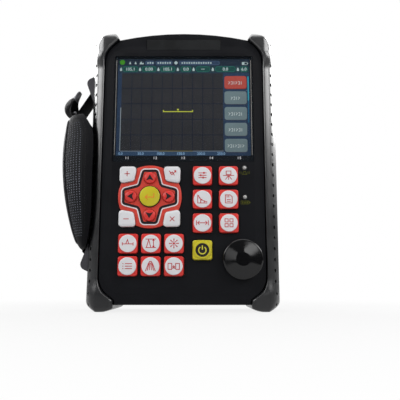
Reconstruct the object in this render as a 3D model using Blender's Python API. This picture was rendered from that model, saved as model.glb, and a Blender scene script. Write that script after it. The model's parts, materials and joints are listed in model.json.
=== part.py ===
"""Hand-held ultrasonic flaw detector, standing upright on the feet of its bumpers.

Every length is in metres. The device looks along -Y, its height is +Z and its hand strap is on the
-X side. All pieces hang on one empty at the device's own centre line, so that the origin of the part is
the middle of its footprint, strap and knob included.
"""

import math

import bmesh
import bpy
from mathutils import Matrix, Vector

# Case
HALF_WIDTH = 0.082
BUMPER_SHOW = 0.0130
BUMPER_LAP = 0.0055
PANEL_HALF = HALF_WIDTH - BUMPER_SHOW
CORE_HALF = PANEL_HALF + BUMPER_LAP
CORE_CORNER = 0.014
CASE_BOTTOM = 0.0055
CROWN_Z = 0.2411
CROWN_RADIUS = 0.26
PANEL_Y = -0.030
BACK_Y = 0.025
PARTING_Y = -0.0025
LIP_DEPTH = 0.0030
WALL = 0.0025
FACE_WALL = 0.0030
CLEAR = 0.0003
GASKET_THICK = 0.0010
PANEL_EDGE = 0.0006
PLATEAU_MARGIN = 0.0090
PLATEAU_HALF = PANEL_HALF - PLATEAU_MARGIN
PLATEAU_RISE = 0.0006
PLATEAU_SLOPE = 0.0060
PLATEAU_CORNER = 0.0120
PLATEAU_LOW = 0.0200
PLATEAU_HIGH = 0.2225

# Bumpers and their corner ears
EAR_TOP_RADIUS = 0.0200
EAR_TOP_CENTRE = (PANEL_HALF - EAR_TOP_RADIUS, 0.2140)
EAR_TOP_OVERLAP = 0.0126
EAR_TOP_INNER = PANEL_HALF - EAR_TOP_OVERLAP
EAR_TIP_INSET = 0.0088
EAR_TIP = (PANEL_HALF - EAR_TIP_INSET, 0.2406)
EAR_LOW_RADIUS = 0.0175
EAR_LOW_CENTRE = (PANEL_HALF - EAR_LOW_RADIUS, 0.0280)
FOOT_OVERLAP = 0.0130
FOOT_INNER = PANEL_HALF - FOOT_OVERLAP
FOOT_ROUND = 0.0030
EAR_PROUD = 0.0030
BAND_PROUD = 0.0009
EAR_BLEND = 0.0150
EAR_EDGE_ROUND = 0.0055
FOOT_EDGE_ROUND = 0.0035
FOOT_FLAT_INSET = 0.0050
FOOT_FLAT_WIDTH = 0.0085
FOOT_FLAT = (PANEL_HALF - FOOT_FLAT_INSET, PANEL_HALF - FOOT_FLAT_INSET + FOOT_FLAT_WIDTH)
FOOT_HEIGHT = 0.0090
SHOULDER_Z = 0.2260
BUMPER_POWER = 2.1
DIMPLE_RADIUS = 0.0015
DIMPLE_DEPTH = 0.0014
DIMPLE_PITCH = 0.0089
DIMPLE_COUNT = 22
DIMPLE_LOW_Z = 0.0244
DIMPLE_Y = -0.0255
EAR_DIMPLES_Z = (0.0058, 0.0146, 0.2215, 0.2305)

# Front panel: name strip, window and display
NAME_HALF = 0.0325
NAME_LOW = 0.2254
NAME_HIGH = 0.2354
NAME_DEPTH = 0.0006
WINDOW_HALF = PLATEAU_HALF
WINDOW_LOW = 0.1245
WINDOW_HIGH = 0.2190
WINDOW_THICK = 0.0012
WINDOW_CORNER = 0.0010
VIEW_EDGE = 0.0020
VIEW_HALF = WINDOW_HALF - VIEW_EDGE
VIEW_LOW = 0.1300
VIEW_HIGH = 0.2184
DISPLAY_EDGE = 0.0020
DISPLAY_HALF = WINDOW_HALF + DISPLAY_EDGE
DISPLAY_LOW = 0.1245
DISPLAY_HIGH = 0.2225
DISPLAY_DEPTH = 0.0080
DISPLAY_BEZEL = 0.0004

# Keys
KEY_TRAVEL = 0.0012
KEY_PROUD = 0.0030
KEY_BEVEL = 0.0006
KEY_FLANGE = 0.0008
ENTER_FLANGE = 0.0005
KEY_FLANGE_DEPTH = 0.0047
BOARD_REST = 0.0005
SQUARE_KEY = 0.0164
SQUARE_CORNER = 0.0020
DOME_RADIUS = 0.0074
DOME_HEIGHT = 0.0006
LEFT_KEYS_X = (-0.0447, -0.0259, -0.0070)
LEFT_KEYS_Z = (0.0550, 0.0366)
RIGHT_KEYS_X = (0.0163, 0.0381)
RIGHT_KEYS_Z = (0.1118, 0.0918, 0.0719)
POWER_KEY_AT = (0.0162, 0.0497)

# Cursor pad
PAD_AT = (-0.0276, 0.0942)
PAD_RADIUS = 0.0267
PAD_PROUD = 0.0012
PAD_RECESS = 0.0014
GROOVE_REACH = 0.0226
GROOVE_WIDTH = 0.0012
GROOVE_DEPTH = 0.0009
CROSS_END_HALF = 0.0062
CROSS_ROOT_HALF = 0.0096
CROSS_ROUND = 0.0028
ARROW_OFFSET = 0.0158
ARROW_RADIUS = 0.0050
ENTER_RADIUS = 0.0089
CORNER_KEY_FAR = 0.0254
CORNER_KEY_NEAR = 0.0109
CORNER_KEY_INNER = 0.0132
CORNER_KEY_ROUND = 0.0029

# Jog knob and its encoder
KNOB_RADIUS = 0.0165
KNOB_MARGIN = 0.0035
KNOB_AT = (PANEL_HALF - KNOB_MARGIN - KNOB_RADIUS, 0.0421)
KNOB_HEIGHT = 0.0085
KNOB_BEVEL = 0.0014
KNOB_CROWN = 0.0007
KNOB_FLAT = 0.0058
KNOB_GAP = 0.0004
SHAFT_RADIUS = 0.0030
BUSH_RADIUS = 0.0045
ENCODER_SIZE = 0.0140
SHAFT_ENGAGE = 0.0055

# Lamps
LAMP_MARGIN = 0.0172
LAMP_X = PANEL_HALF - LAMP_MARGIN
LAMPS_Z = (0.1190, 0.0940)
LAMP_RADIUS = 0.0022
LAMP_PROUD = 0.0010

# Boards and battery
BOARD_THICK = 0.0016
KEYPAD_MARGIN = 0.0135
KEYPAD_HALF = CORE_HALF - KEYPAD_MARGIN
KEYPAD_LOW = 0.0190
KEYPAD_HIGH = 0.1225
POST_INSET = 0.0035
KEYPAD_POST_X = KEYPAD_HALF - POST_INSET
KEYPAD_POSTS = (
    (-KEYPAD_POST_X, 0.0235),
    (KEYPAD_POST_X, 0.0200),
    (-KEYPAD_POST_X, 0.1180),
    (0.0300, 0.0300),
)
POST_RADIUS = 0.0028
MAIN_MARGIN = 0.0145
MAIN_HALF = CORE_HALF - MAIN_MARGIN
MAIN_LOW = 0.0300
MAIN_HIGH = 0.2150
MAIN_FRONT_Y = -0.0100
MAIN_POST_INSET = 0.0040
MAIN_POST_X = MAIN_HALF - MAIN_POST_INSET
MAIN_POSTS_Z = (MAIN_LOW + 0.0050, MAIN_HIGH - 0.0070)
MAIN_POSTS = tuple((side * MAIN_POST_X, z) for z in MAIN_POSTS_Z for side in (-1, 1))
SHIELD_HALF = (0.0300, 0.0240)
SHIELD_AT = (-0.0200, 0.1750)
SHIELD_DEPTH = 0.0060
BUZZER_AT = (0.0380, 0.1300)
BUZZER_RADIUS = 0.0060
BUZZER_DEPTH = 0.0065
CELL_RADIUS = 0.0092
CELL_COUNT = 4
CELL_LENGTH = 0.0690
BATTERY_LOW = 0.0300
DOOR_HALF = 0.0460
DOOR_LOW = 0.0235
DOOR_HIGH = 0.1060
DOOR_CORNER = 0.0050
DOOR_FLANGE = 0.0030
DOOR_LIP = 0.0013
DOOR_GROOVES = 5

# Tilt stand on the back
STAND_HALF = 0.0350
STAND_LENGTH = 0.0720
STAND_THICK = 0.0022
STAND_AXIS_Y = BACK_Y + 0.0013
STAND_AXIS_Z = 0.1960
STAND_BARREL = 0.0021
STAND_TIP = 0.0120
STAND_NOTCH = 0.0080
STAND_RIB = 0.0008
THUMB_RECESS = 0.0012
HINGE_LUG = 0.0050
PIN_RADIUS = 0.0011

# Sockets on the top
PROBE_X = (-0.0300, -0.0080)
CHARGE_X = 0.0160
USB_X = 0.0350
SOCKET_Y = 0.0060
SOCKET_RADIUS = 0.0056
SOCKET_BORE = 0.0038
SOCKET_HEIGHT = 0.0090
SOCKET_FLANGE = 0.0075
SOCKET_FLANGE_THICK = 0.0020
SOCKET_TAIL = 0.0060
SOCKET_BORE_DEPTH = 0.0085
CHARGE_RADIUS = 0.0042
CHARGE_BORE = 0.0028
CHARGE_HEIGHT = 0.0030
USB_HALF = (0.0062, 0.0038)
USB_SLOT = (0.0038, 0.0015)
USB_HEIGHT = 0.0020

# Hand strap on the viewer's left
STRAP_Y = -0.0030
LUG_HALF_Y = 0.0158
LUG_PLATE = 0.0025
LUG_BASE_HALF = 0.0140
LUG_BASE_THICK = 0.0015
LUG_PROUD = 0.0044
LUG_REACH = HALF_WIDTH + LUG_PROUD
LUG_CORNER = 0.0050
LUG_APEX = 0.0060
LUG_NECK = HALF_WIDTH - 0.0020
LUG_CHEEK_INSET = 0.0018
LUG_BASE_ROUND = 0.0030
BAR_RADIUS = 0.0016
BAR_INSET = 0.0053
BAR_X = LUG_REACH - BAR_INSET
BAR_DROP = 0.0030
UPPER_LUG_Z = 0.1930
LOWER_LUG_Z = 0.0448
UPPER_BAR_Z = UPPER_LUG_Z - BAR_DROP
LOWER_BAR_Z = LOWER_LUG_Z + BAR_DROP
WEB_THICK = 0.0016
WEB_HALF = 0.0122
WEB_LEG = 0.0080
PAD_BAR_GAP = 0.0037
PAD_LOW = LOWER_BAR_Z + PAD_BAR_GAP
PAD_HIGH = 0.1700
PAD_THICK = 0.0060
PAD_HALF_Y = 0.0330
PAD_END_HALF = 0.0130
PAD_LOW_REACH = HALF_WIDTH + 0.0062
PAD_HIGH_REACH = HALF_WIDTH + 0.0200
PAD_BOW = 0.0110
PAD_BOW_POWER = 0.70
PAD_EDGE = HALF_WIDTH - 0.0065
PAD_HIGH_EDGE = HALF_WIDTH + 0.0065
PAD_TUCK = 0.82
PAD_TUCK_POWER = 1.3
PAD_CLEAR = 0.0015
PAD_STEPS = 10
PAD_END_WALL = 0.85
PAD_WEB_INSET = 0.0026
BLEND_POWER = 60
TAIL_REACH = HALF_WIDTH + 0.0275
TAIL_START = HALF_WIDTH + 0.0142
TAIL_CURL = 0.0085
TAIL_TIP = 0.0145
TAIL_THICK = 0.0024
TAIL_HALF = 0.0130
RIVET_RADIUS = 0.0020
RIVET_HEIGHT = 0.0024
RIVET_OFFSET = 0.0022
RIVET_AT = (-TAIL_START - RIVET_OFFSET, -0.0110)

ROUND_STEPS = 6
RING_STEPS = 16
KEY_STEPS = 12
CORNER_STEPS = 2
KNOB_STEPS = 24
PAD_ROUND_STEPS = 32
CROWN_STEPS = 8
DIMPLE_SIDES = 5


def arc(centre, radius, start, end, steps):
    """Return points on an arc between two angles in degrees."""
    points = []
    for i in range(steps + 1):
        angle = math.radians(start + (end - start) * i / steps)
        points.append((centre[0] + radius * math.cos(angle), centre[1] + radius * math.sin(angle)))
    return points


def crown_z(x, grow=0.0):
    """Return the height of the crowned top edge at x."""
    radius = CROWN_RADIUS + grow
    return CROWN_Z - CROWN_RADIUS + math.sqrt(radius * radius - x * x)


def rounded_rect(half_x, half_z, radius, centre=(0.0, 0.0), steps=CORNER_STEPS):
    """Return a rectangle with round corners, counter-clockwise from the lower end of its right side."""
    points = []
    corners = ((1, 1, 0), (-1, 1, 90), (-1, -1, 180), (1, -1, 270))
    for sign_x, sign_z, start in corners:
        middle = (centre[0] + sign_x * (half_x - radius), centre[1] + sign_z * (half_z - radius))
        points += arc(middle, radius, start, start + 90, steps)
    return points


def circle(radius, centre=(0.0, 0.0), steps=RING_STEPS):
    """Return a circle whose points stand opposite those of a rounded rectangle."""
    turn = 360.0 / steps
    return arc(centre, radius, turn / 2, 360.0 - turn / 2, steps - 1)


def flat_ring(outline, y):
    """Lift an outline in X and Z to the depth y."""
    return [(x, y, z) for x, z in outline]


def level_ring(outline, z):
    """Lift an outline in X and Y to the height z."""
    return [(x, y, z) for x, y in outline]


def side_ring(outline, x):
    """Lift an outline in Y and Z to the place x."""
    return [(x, y, z) for y, z in outline]


def skin(bm, rings, closed=False):
    """Skin equal rings one after the other, and cap the two ends unless the row closes on itself."""
    loops = [[bm.verts.new(point) for point in ring] for ring in rings]
    pairs = list(zip(loops, loops[1:]))
    if closed:
        pairs.append((loops[-1], loops[0]))
    for lower, upper in pairs:
        for i, vertex in enumerate(lower):
            j = (i + 1) % len(lower)
            bm.faces.new((vertex, lower[j], upper[j], upper[i]))
    if not closed:
        bm.faces.new(loops[0][::-1])
        bm.faces.new(loops[-1])


def prism(bm, outline, y0, y1):
    """Extrude an outline in X and Z between two depths."""
    skin(bm, [flat_ring(outline, y0), flat_ring(outline, y1)])


def ring_prism(bm, outer, inner, y0, y1):
    """Extrude the frame between two outlines with as many points."""
    skin(bm, [flat_ring(outer, y0), flat_ring(outer, y1), flat_ring(inner, y1), flat_ring(inner, y0)], True)


def turned(bm, profile, centre, steps=RING_STEPS, closed=False):
    """Turn a profile of (radius, y) about the depth axis through centre."""
    skin(bm, [flat_ring(circle(radius, centre, steps), y) for radius, y in profile], closed)


def turned_up(bm, profile, centre, steps=RING_STEPS, closed=False):
    """Turn a profile of (radius, z) about the upright axis through centre, which is (x, y)."""
    skin(bm, [level_ring(circle(radius, centre, steps), z) for radius, z in profile], closed)


def block(bm, low, high):
    """Add a box between two corners."""
    size = Vector(high) - Vector(low)
    middle = (Vector(high) + Vector(low)) / 2
    bmesh.ops.create_cube(bm, size=1.0, matrix=Matrix.Translation(middle) @ Matrix.Diagonal((*size, 1.0)))


def make_material(name, colour, roughness, metallic=0.0):
    """Return a Principled material of one colour."""
    material = bpy.data.materials.new(name)
    material.use_nodes = True
    shader = material.node_tree.nodes["Principled BSDF"]
    shader.inputs["Base Color"].default_value = (*colour, 1.0)
    shader.inputs["Roughness"].default_value = roughness
    shader.inputs["Metallic"].default_value = metallic
    material.diffuse_color = (*colour, 1.0)
    return material


def link(name, bm, frame, location=(0.0, 0.0, 0.0)):
    """Turn a bmesh into an object that hangs on the device's frame."""
    bmesh.ops.recalc_face_normals(bm, faces=bm.faces)
    mesh = bpy.data.meshes.new(name)
    bm.to_mesh(mesh)
    bm.free()
    obj = bpy.data.objects.new(name, mesh)
    bpy.context.scene.collection.objects.link(obj)
    obj.parent = frame
    obj.location = location
    return obj


def piece(name, bm, material, frame, location=(0.0, 0.0, 0.0)):
    """Add one visible sub-part, smooth where its faces nearly meet."""
    obj = link(name, bm, frame, location)
    obj.data.materials.append(material)
    obj.data.shade_smooth()
    obj.data.set_sharp_from_angle(angle=math.radians(32))
    return obj


def tool(name, bm, frame):
    """Add a hidden shape that a Boolean uses."""
    obj = link(name, bm, frame)
    obj.hide_render = True
    obj.display_type = "WIRE"
    return obj


def boolean(target, other, operation="DIFFERENCE"):
    """Cut, join or keep the overlap of target and other, exactly."""
    modifier = target.modifiers.new(other.name, "BOOLEAN")
    modifier.operation = operation
    modifier.object = other
    modifier.solver = "EXACT"


# Outlines of the case


def core_outline(grow=0.0):
    """Return the outline of the case under its bumpers."""
    half = CORE_HALF + grow
    corner = CORE_CORNER + grow
    centre_z = CROWN_Z - CROWN_RADIUS
    across = CROWN_RADIUS + grow - corner
    fillet_z = centre_z + math.sqrt(across * across - (half - corner) ** 2)
    turn = math.degrees(math.atan2(fillet_z - centre_z, half - corner))
    points = arc((half - corner, CASE_BOTTOM - grow + corner), corner, -90, 0, 4)
    points += arc((half - corner, fillet_z), corner, 0, turn, 4)
    points += arc((0.0, centre_z), CROWN_RADIUS + grow, turn, 180 - turn, CROWN_STEPS)[1:-1]
    points += arc((corner - half, fillet_z), corner, 180 - turn, 180, 4)
    points += arc((corner - half, CASE_BOTTOM - grow + corner), corner, 180, 270, 4)
    return points


def right_seam():
    """Return the line where the right bumper meets the panel, from the foot up to the crown."""
    foot = arc((FOOT_INNER + FOOT_ROUND, EAR_LOW_CENTRE[1] - 0.0200), FOOT_ROUND, 180, 130, 2)
    lower = arc(EAR_LOW_CENTRE, EAR_LOW_RADIUS, -52, 0, 4)
    upper = arc(EAR_TOP_CENTRE, EAR_TOP_RADIUS, 0, 45, 4)
    return foot + lower + upper + [(EAR_TOP_INNER, crown_z(EAR_TOP_INNER))]


def panel_outline(inset):
    """Return the outline of the panel that shows between the bumpers, moved in by inset."""
    seam = right_seam()
    right = [(FOOT_INNER - inset, CASE_BOTTOM + inset)]
    for (x, z), (next_x, next_z) in zip(seam, seam[1:] + [seam[-1]]):
        right.append((x - inset, min(max(z, CASE_BOTTOM + inset), crown_z(x - inset, -inset))))
    crown = []
    for i in range(1, CROWN_STEPS):
        x = (EAR_TOP_INNER - inset) * (1 - 2 * i / CROWN_STEPS)
        crown.append((x, crown_z(x, -inset)))
    left = [(-x, z) for x, z in reversed(right)]
    return right + crown + left


def plateau_outline(grow):
    """Return the outline of the flat field that carries the window and the keys."""
    middle = (PLATEAU_LOW + PLATEAU_HIGH) / 2
    half_z = (PLATEAU_HIGH - PLATEAU_LOW) / 2 + grow
    return rounded_rect(PLATEAU_HALF + grow, half_z, PLATEAU_CORNER + grow, (0.0, middle), 4)


# Outlines of the keys


def square_outline(grow=0.0):
    """Return the outline of a square key."""
    return rounded_rect(SQUARE_KEY / 2 + grow, SQUARE_KEY / 2 + grow, SQUARE_CORNER + max(grow, -0.001))


def rounded_polygon(corners, radius, steps, grow=0.0):
    """Return a counter-clockwise polygon with its edges moved out by grow and its corners rounded."""
    points = []
    for i, corner in enumerate(corners):
        before = (Vector(corner) - Vector(corners[i - 1])).normalized()
        after = (Vector(corners[(i + 1) % len(corners)]) - Vector(corner)).normalized()
        bend = math.atan2(before.x * after.y - before.y * after.x, before.dot(after))
        way = 1 if bend > 0 else -1
        outward = Vector((before.y + after.y, -before.x - after.x)) / (1 + before.dot(after))
        round_off = radius + way * grow
        centre = Vector(corner) + outward * (grow - way * round_off)
        start = math.degrees(math.atan2(-before.x, before.y)) + (0 if way > 0 else 180)
        points += arc(centre, round_off, start, start + math.degrees(bend), steps)
    return points


def corner_outline(grow=0.0):
    """Return the outline of the upper right corner key about the middle of the cursor pad."""
    far, near, inner = CORNER_KEY_FAR, CORNER_KEY_NEAR, CORNER_KEY_INNER
    corners = [(far, near), (far, far), (near, far), (inner, inner)]
    return rounded_polygon(corners, CORNER_KEY_ROUND, CORNER_STEPS, grow)


def cross_outline(grow=0.0):
    """Return the outline of the cross about the middle of the cursor pad, its arms wider at their roots."""
    corners = []
    for quarter in range(4):
        turn = Matrix.Rotation(math.radians(90 * quarter), 2)
        end = [(GROOVE_REACH, -CROSS_END_HALF), (GROOVE_REACH, CROSS_END_HALF)]
        corners += [tuple(turn @ Vector(point)) for point in end + [(CROSS_ROOT_HALF, CROSS_ROOT_HALF)]]
    return rounded_polygon(corners, CROSS_ROUND, CORNER_STEPS, grow)


def arrow_centre(quarter):
    """Return the middle of an arrow key: up, left, down and right for 0 to 3 quarter turns."""
    angle = math.radians(90 + 90 * quarter)
    return PAD_AT[0] + ARROW_OFFSET * math.cos(angle), PAD_AT[1] + ARROW_OFFSET * math.sin(angle)


# The case


def case_shell(name, front, material, frame):
    """Build one half of the case: the core under the bumpers, the panel slab and the hollow inside."""
    face_y, way = (PANEL_Y, -1) if front else (BACK_Y, 1)
    rise = PLATEAU_RISE if front else 0.0
    inner_y = face_y - way * FACE_WALL
    split_y = PARTING_Y + way * (GASKET_THICK / 2 + CLEAR)
    bm = bmesh.new()
    prism(bm, core_outline(), face_y - way * LIP_DEPTH, split_y)
    shell = piece(name, bm, material, frame)

    bm = bmesh.new()
    base = panel_outline(CLEAR)
    skin(bm, [
        flat_ring(base, face_y - way * (LIP_DEPTH + 0.0010)),
        flat_ring(base, face_y - way * (rise + PANEL_EDGE)),
        flat_ring(panel_outline(CLEAR + PANEL_EDGE), face_y - way * rise),
    ])
    boolean(shell, tool(name + "_slab", bm, frame), "UNION")

    if front:
        bm = bmesh.new()
        skin(bm, [
            flat_ring(plateau_outline(PLATEAU_SLOPE), face_y - way * (rise + 0.0008)),
            flat_ring(plateau_outline(PLATEAU_SLOPE), face_y - way * (rise - 0.0001)),
            flat_ring(plateau_outline(0.0), face_y),
        ])
        boolean(shell, tool(name + "_plateau", bm, frame), "UNION")

    bm = bmesh.new()
    prism(bm, core_outline(-WALL), face_y - way * (LIP_DEPTH + WALL), split_y - way * 0.0050)
    boolean(shell, tool(name + "_hollow", bm, frame))

    bm = bmesh.new()
    prism(bm, panel_outline(CLEAR + WALL), inner_y, face_y - way * (LIP_DEPTH + WALL + 0.0010))
    boolean(shell, tool(name + "_face_hollow", bm, frame))
    return shell


def key_places():
    """Return (name, x, z) of each square key with a red body."""
    names = (("gate_key", "peak_key", "freeze_key"), ("menu_key", "envelope_key", "compare_key"))
    places = []
    for z, row in zip(LEFT_KEYS_Z, names):
        places += [(name, x, z) for name, x in zip(row, LEFT_KEYS_X)]
    names = (("set_key", "probe_key"), ("curve_key", "memory_key"), ("range_key", "tools_key"))
    for z, row in zip(RIGHT_KEYS_Z, names):
        places += [(name, x, z) for name, x in zip(row, RIGHT_KEYS_X)]
    return places


def moved(outline, centre, turn=0.0):
    """Return an outline turned by degrees and moved to centre."""
    rotation = Matrix.Rotation(math.radians(turn), 2)
    points = []
    for point in outline:
        x, z = rotation @ Vector(point)
        points.append((centre[0] + x, centre[1] + z))
    return points


def build_front_case(material, frame):
    """Build the front case with its window, key and lamp openings and the posts of the keypad board."""
    shell = case_shell("front_case", True, material, frame)
    deep = PANEL_Y + FACE_WALL + 0.0010
    proud = PANEL_Y - 0.0010

    bm = bmesh.new()
    centre_z = (WINDOW_LOW + WINDOW_HIGH) / 2
    half_z = (WINDOW_HIGH - WINDOW_LOW) / 2
    window = rounded_rect(WINDOW_HALF + CLEAR, half_z + CLEAR, WINDOW_CORNER, (0.0, centre_z), 1)
    prism(bm, window, proud, PANEL_Y + WINDOW_THICK + CLEAR)
    name_z = (NAME_LOW + NAME_HIGH) / 2
    name_half_z = (NAME_HIGH - NAME_LOW) / 2
    strip = rounded_rect(NAME_HALF + CLEAR, name_half_z + CLEAR, WINDOW_CORNER, (0.0, name_z), 1)
    prism(bm, strip, proud, PANEL_Y + PLATEAU_RISE + NAME_DEPTH + CLEAR)
    prism(bm, circle(PAD_RADIUS + CLEAR, PAD_AT, PAD_ROUND_STEPS), proud, PANEL_Y + PAD_RECESS)
    boolean(shell, tool("front_recesses", bm, frame))

    bm = bmesh.new()
    block(bm, (-VIEW_HALF, proud, VIEW_LOW), (VIEW_HALF, deep, VIEW_HIGH))
    for _, x, z in key_places():
        prism(bm, moved(square_outline(CLEAR), (x, z)), proud, deep)
    prism(bm, moved(square_outline(CLEAR), POWER_KEY_AT), proud, deep)
    for turn in range(4):
        prism(bm, circle(ARROW_RADIUS + CLEAR, arrow_centre(turn), KEY_STEPS), proud, deep)
        prism(bm, moved(corner_outline(CLEAR), PAD_AT, 90 * turn), proud, deep)
    prism(bm, circle(ENTER_RADIUS + CLEAR, PAD_AT), proud, deep)
    prism(bm, circle(BUSH_RADIUS + CLEAR, KNOB_AT), proud, deep)
    for z in LAMPS_Z:
        prism(bm, circle(LAMP_RADIUS + CLEAR, (LAMP_X, z), 12), proud, deep)
    boolean(shell, tool("front_openings", bm, frame))

    bm = bmesh.new()
    for place in KEYPAD_POSTS:
        prism(bm, circle(POST_RADIUS, place, 8), PANEL_Y + FACE_WALL - 0.0010, keypad_front_y() - CLEAR)
    boolean(shell, tool("front_posts", bm, frame), "UNION")
    return shell


def build_rear_case(material, frame):
    """Build the rear case with its battery opening, stand hinge, board posts and socket holes."""
    shell = case_shell("rear_case", False, material, frame)
    inner_y = BACK_Y - FACE_WALL

    bm = bmesh.new()
    for place in MAIN_POSTS:
        prism(bm, circle(POST_RADIUS, place, 8), MAIN_FRONT_Y + BOARD_THICK + CLEAR, inner_y + 0.0010)
    boolean(shell, tool("rear_posts", bm, frame), "UNION")

    bm = bmesh.new()
    middle = (0.0, (DOOR_LOW + DOOR_HIGH) / 2)
    half_z = (DOOR_HIGH - DOOR_LOW) / 2
    rebate = rounded_rect(DOOR_HALF + CLEAR, half_z + CLEAR, DOOR_CORNER, middle)
    prism(bm, rebate, BACK_Y - DOOR_LIP - CLEAR, BACK_Y + 0.0010)
    thumb = circle(STAND_NOTCH, (0.0, STAND_AXIS_Z - STAND_LENGTH), KEY_STEPS)
    prism(bm, thumb, BACK_Y - THUMB_RECESS, BACK_Y + 0.0010)
    boolean(shell, tool("door_rebate", bm, frame))

    bm = bmesh.new()
    narrow = DOOR_FLANGE - CLEAR
    through = rounded_rect(DOOR_HALF - narrow, half_z - narrow, DOOR_CORNER, middle)
    prism(bm, through, inner_y - 0.0010, BACK_Y + 0.0010)
    for x in PROBE_X:
        bore = SOCKET_RADIUS + CLEAR
        turned_up(bm, [(bore, crown_z(0) - 0.0200), (bore, crown_z(0) + 0.0050)],
                  (x, SOCKET_Y), KEY_STEPS)
    bore = CHARGE_RADIUS + CLEAR
    turned_up(bm, [(bore, crown_z(0) - 0.0200), (bore, crown_z(0) + 0.0050)],
              (CHARGE_X, SOCKET_Y), KEY_STEPS)
    low = (USB_X - USB_HALF[0] - CLEAR, SOCKET_Y - USB_HALF[1] - CLEAR, crown_z(0) - 0.0200)
    block(bm, low, (USB_X + USB_HALF[0] + CLEAR, SOCKET_Y + USB_HALF[1] + CLEAR, crown_z(0) + 0.0050))
    boolean(shell, tool("rear_openings", bm, frame))

    bm = bmesh.new()
    groove = arc((STAND_AXIS_Y, STAND_AXIS_Z), STAND_BARREL + 2 * CLEAR, 0, 330, 11)
    reach = STAND_HALF + CLEAR / 2
    skin(bm, [side_ring(groove, -reach), side_ring(groove, reach)])
    boolean(shell, tool("hinge_groove", bm, frame))

    bm = bmesh.new()
    lug = arc((STAND_AXIS_Y, STAND_AXIS_Z), STAND_BARREL, -60, 120, 6)
    lug += [(BACK_Y - 0.0010, STAND_AXIS_Z + 0.0040), (BACK_Y - 0.0010, STAND_AXIS_Z - 0.0040)]
    for side in (-1, 1):
        near = side * (STAND_HALF + CLEAR)
        skin(bm, [side_ring(lug, near), side_ring(lug, near + side * HINGE_LUG)])
    boolean(shell, tool("hinge_lugs", bm, frame), "UNION")

    bm = bmesh.new()
    bore = circle(PIN_RADIUS + CLEAR, (STAND_AXIS_Y, STAND_AXIS_Z), 8)
    reach = STAND_HALF + HINGE_LUG - 0.0010
    skin(bm, [side_ring(bore, -reach), side_ring(bore, reach)])
    boolean(shell, tool("hinge_bore", bm, frame))
    return shell


def build_gasket(material, frame):
    """Build the flat seal between the two halves of the case."""
    bm = bmesh.new()
    half = GASKET_THICK / 2
    ring_prism(bm, core_outline(-0.0004), core_outline(-WALL), PARTING_Y - half, PARTING_Y + half)
    piece("case_gasket", bm, material, frame)


# The bumpers


def ear_share(z):
    """Return how far the ear's raised face has grown at a height, from 0 on the band to 1 at the corner."""
    upper = (z - (EAR_TOP_CENTRE[1] - 0.0070)) / EAR_BLEND
    lower = (EAR_LOW_CENTRE[1] - z) / EAR_BLEND
    share = min(max(upper, lower, 0.0), 1.0)
    return share * share * (3 - 2 * share)


def bumper_inner(z):
    """Return how far in the bumper reaches at a height."""
    if z < FOOT_EDGE_ROUND:
        drop = (1 - z / FOOT_EDGE_ROUND) ** 2
        return FOOT_INNER + (FOOT_FLAT[0] - FOOT_INNER) * drop
    seam = right_seam()
    if z <= seam[0][1]:
        return FOOT_INNER
    if z >= seam[-1][1]:
        share = (z - seam[-1][1]) / (EAR_TIP[1] - seam[-1][1])
        return seam[-1][0] + (EAR_TIP[0] - 0.0008 - seam[-1][0]) * share
    for (x0, z0), (x1, z1) in zip(seam, seam[1:]):
        if z0 <= z <= z1:
            return x0 + (x1 - x0) * (z - z0) / (z1 - z0)
    return PANEL_HALF


def bumper_outer(z):
    """Return how far out the bumper reaches at a height."""
    if z < FOOT_HEIGHT:
        share = 1 - z / FOOT_HEIGHT
        return HALF_WIDTH - (HALF_WIDTH - FOOT_FLAT[1]) * share ** 2.4
    if z > SHOULDER_Z:
        share = (z - SHOULDER_Z) / (EAR_TIP[1] - SHOULDER_Z)
        return HALF_WIDTH - (HALF_WIDTH - EAR_TIP[0]) * share ** 3.6
    return HALF_WIDTH


def edge_inset(z):
    """Return how much the rounded top edge and foot edge take off the depth at a height."""
    top = z - (EAR_TIP[1] - EAR_EDGE_ROUND)
    if top > 0:
        return EAR_EDGE_ROUND - math.sqrt(max(EAR_EDGE_ROUND ** 2 - top * top, 0.0))
    foot = FOOT_EDGE_ROUND - z
    if foot > 0:
        return FOOT_EDGE_ROUND - math.sqrt(max(FOOT_EDGE_ROUND ** 2 - foot * foot, 0.0))
    return 0.0


def bumper_ring(z):
    """Return the right bumper's outer section at a height, from its front seam round to its back seam."""
    inner = bumper_inner(z)
    outer = bumper_outer(z)
    proud = BAND_PROUD + (EAR_PROUD - BAND_PROUD) * ear_share(z)
    taken = edge_inset(z)
    flat_end = min(max(inner + proud, PANEL_HALF + 0.0005), inner + 0.7 * (outer - inner))
    chamfer = min(inner + proud, inner + 0.4 * (flat_end - inner) + 0.0005)
    points = []
    for face_y, way in ((PANEL_Y, -1), (BACK_Y, 1)):
        half = []
        depth = face_y + way * (proud - taken) - PARTING_Y
        half.append((inner, PARTING_Y + depth - way * proud))
        half.append((chamfer, PARTING_Y + depth))
        for i in range(ROUND_STEPS):
            angle = math.radians(90 * i / ROUND_STEPS)
            x = flat_end + (outer - flat_end) * math.sin(angle) ** (2 / BUMPER_POWER)
            half.append((x, PARTING_Y + depth * math.cos(angle) ** (2 / BUMPER_POWER)))
        points.append(half)
    return points[0] + [(outer, PARTING_Y)] + points[1][::-1]


def bumper_levels():
    """Return the heights at which the bumper's section changes."""
    foot = [0.0, 0.0008, 0.0020, FOOT_EDGE_ROUND, 0.0058, FOOT_HEIGHT]
    lower = [z for _, z in right_seam()[1:7] if z > FOOT_HEIGHT + 0.0008]
    middle = [EAR_LOW_CENTRE[1], EAR_TOP_CENTRE[1] - 0.0070, EAR_TOP_CENTRE[1]]
    upper = [z for _, z in right_seam()[9:12]] + [SHOULDER_Z + 0.0050]
    top = [crown_z(EAR_TOP_INNER), 0.2368, 0.2383, 0.2395, EAR_TIP[1] - 0.0003]
    return sorted(set(foot + lower + middle + upper + top))


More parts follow.
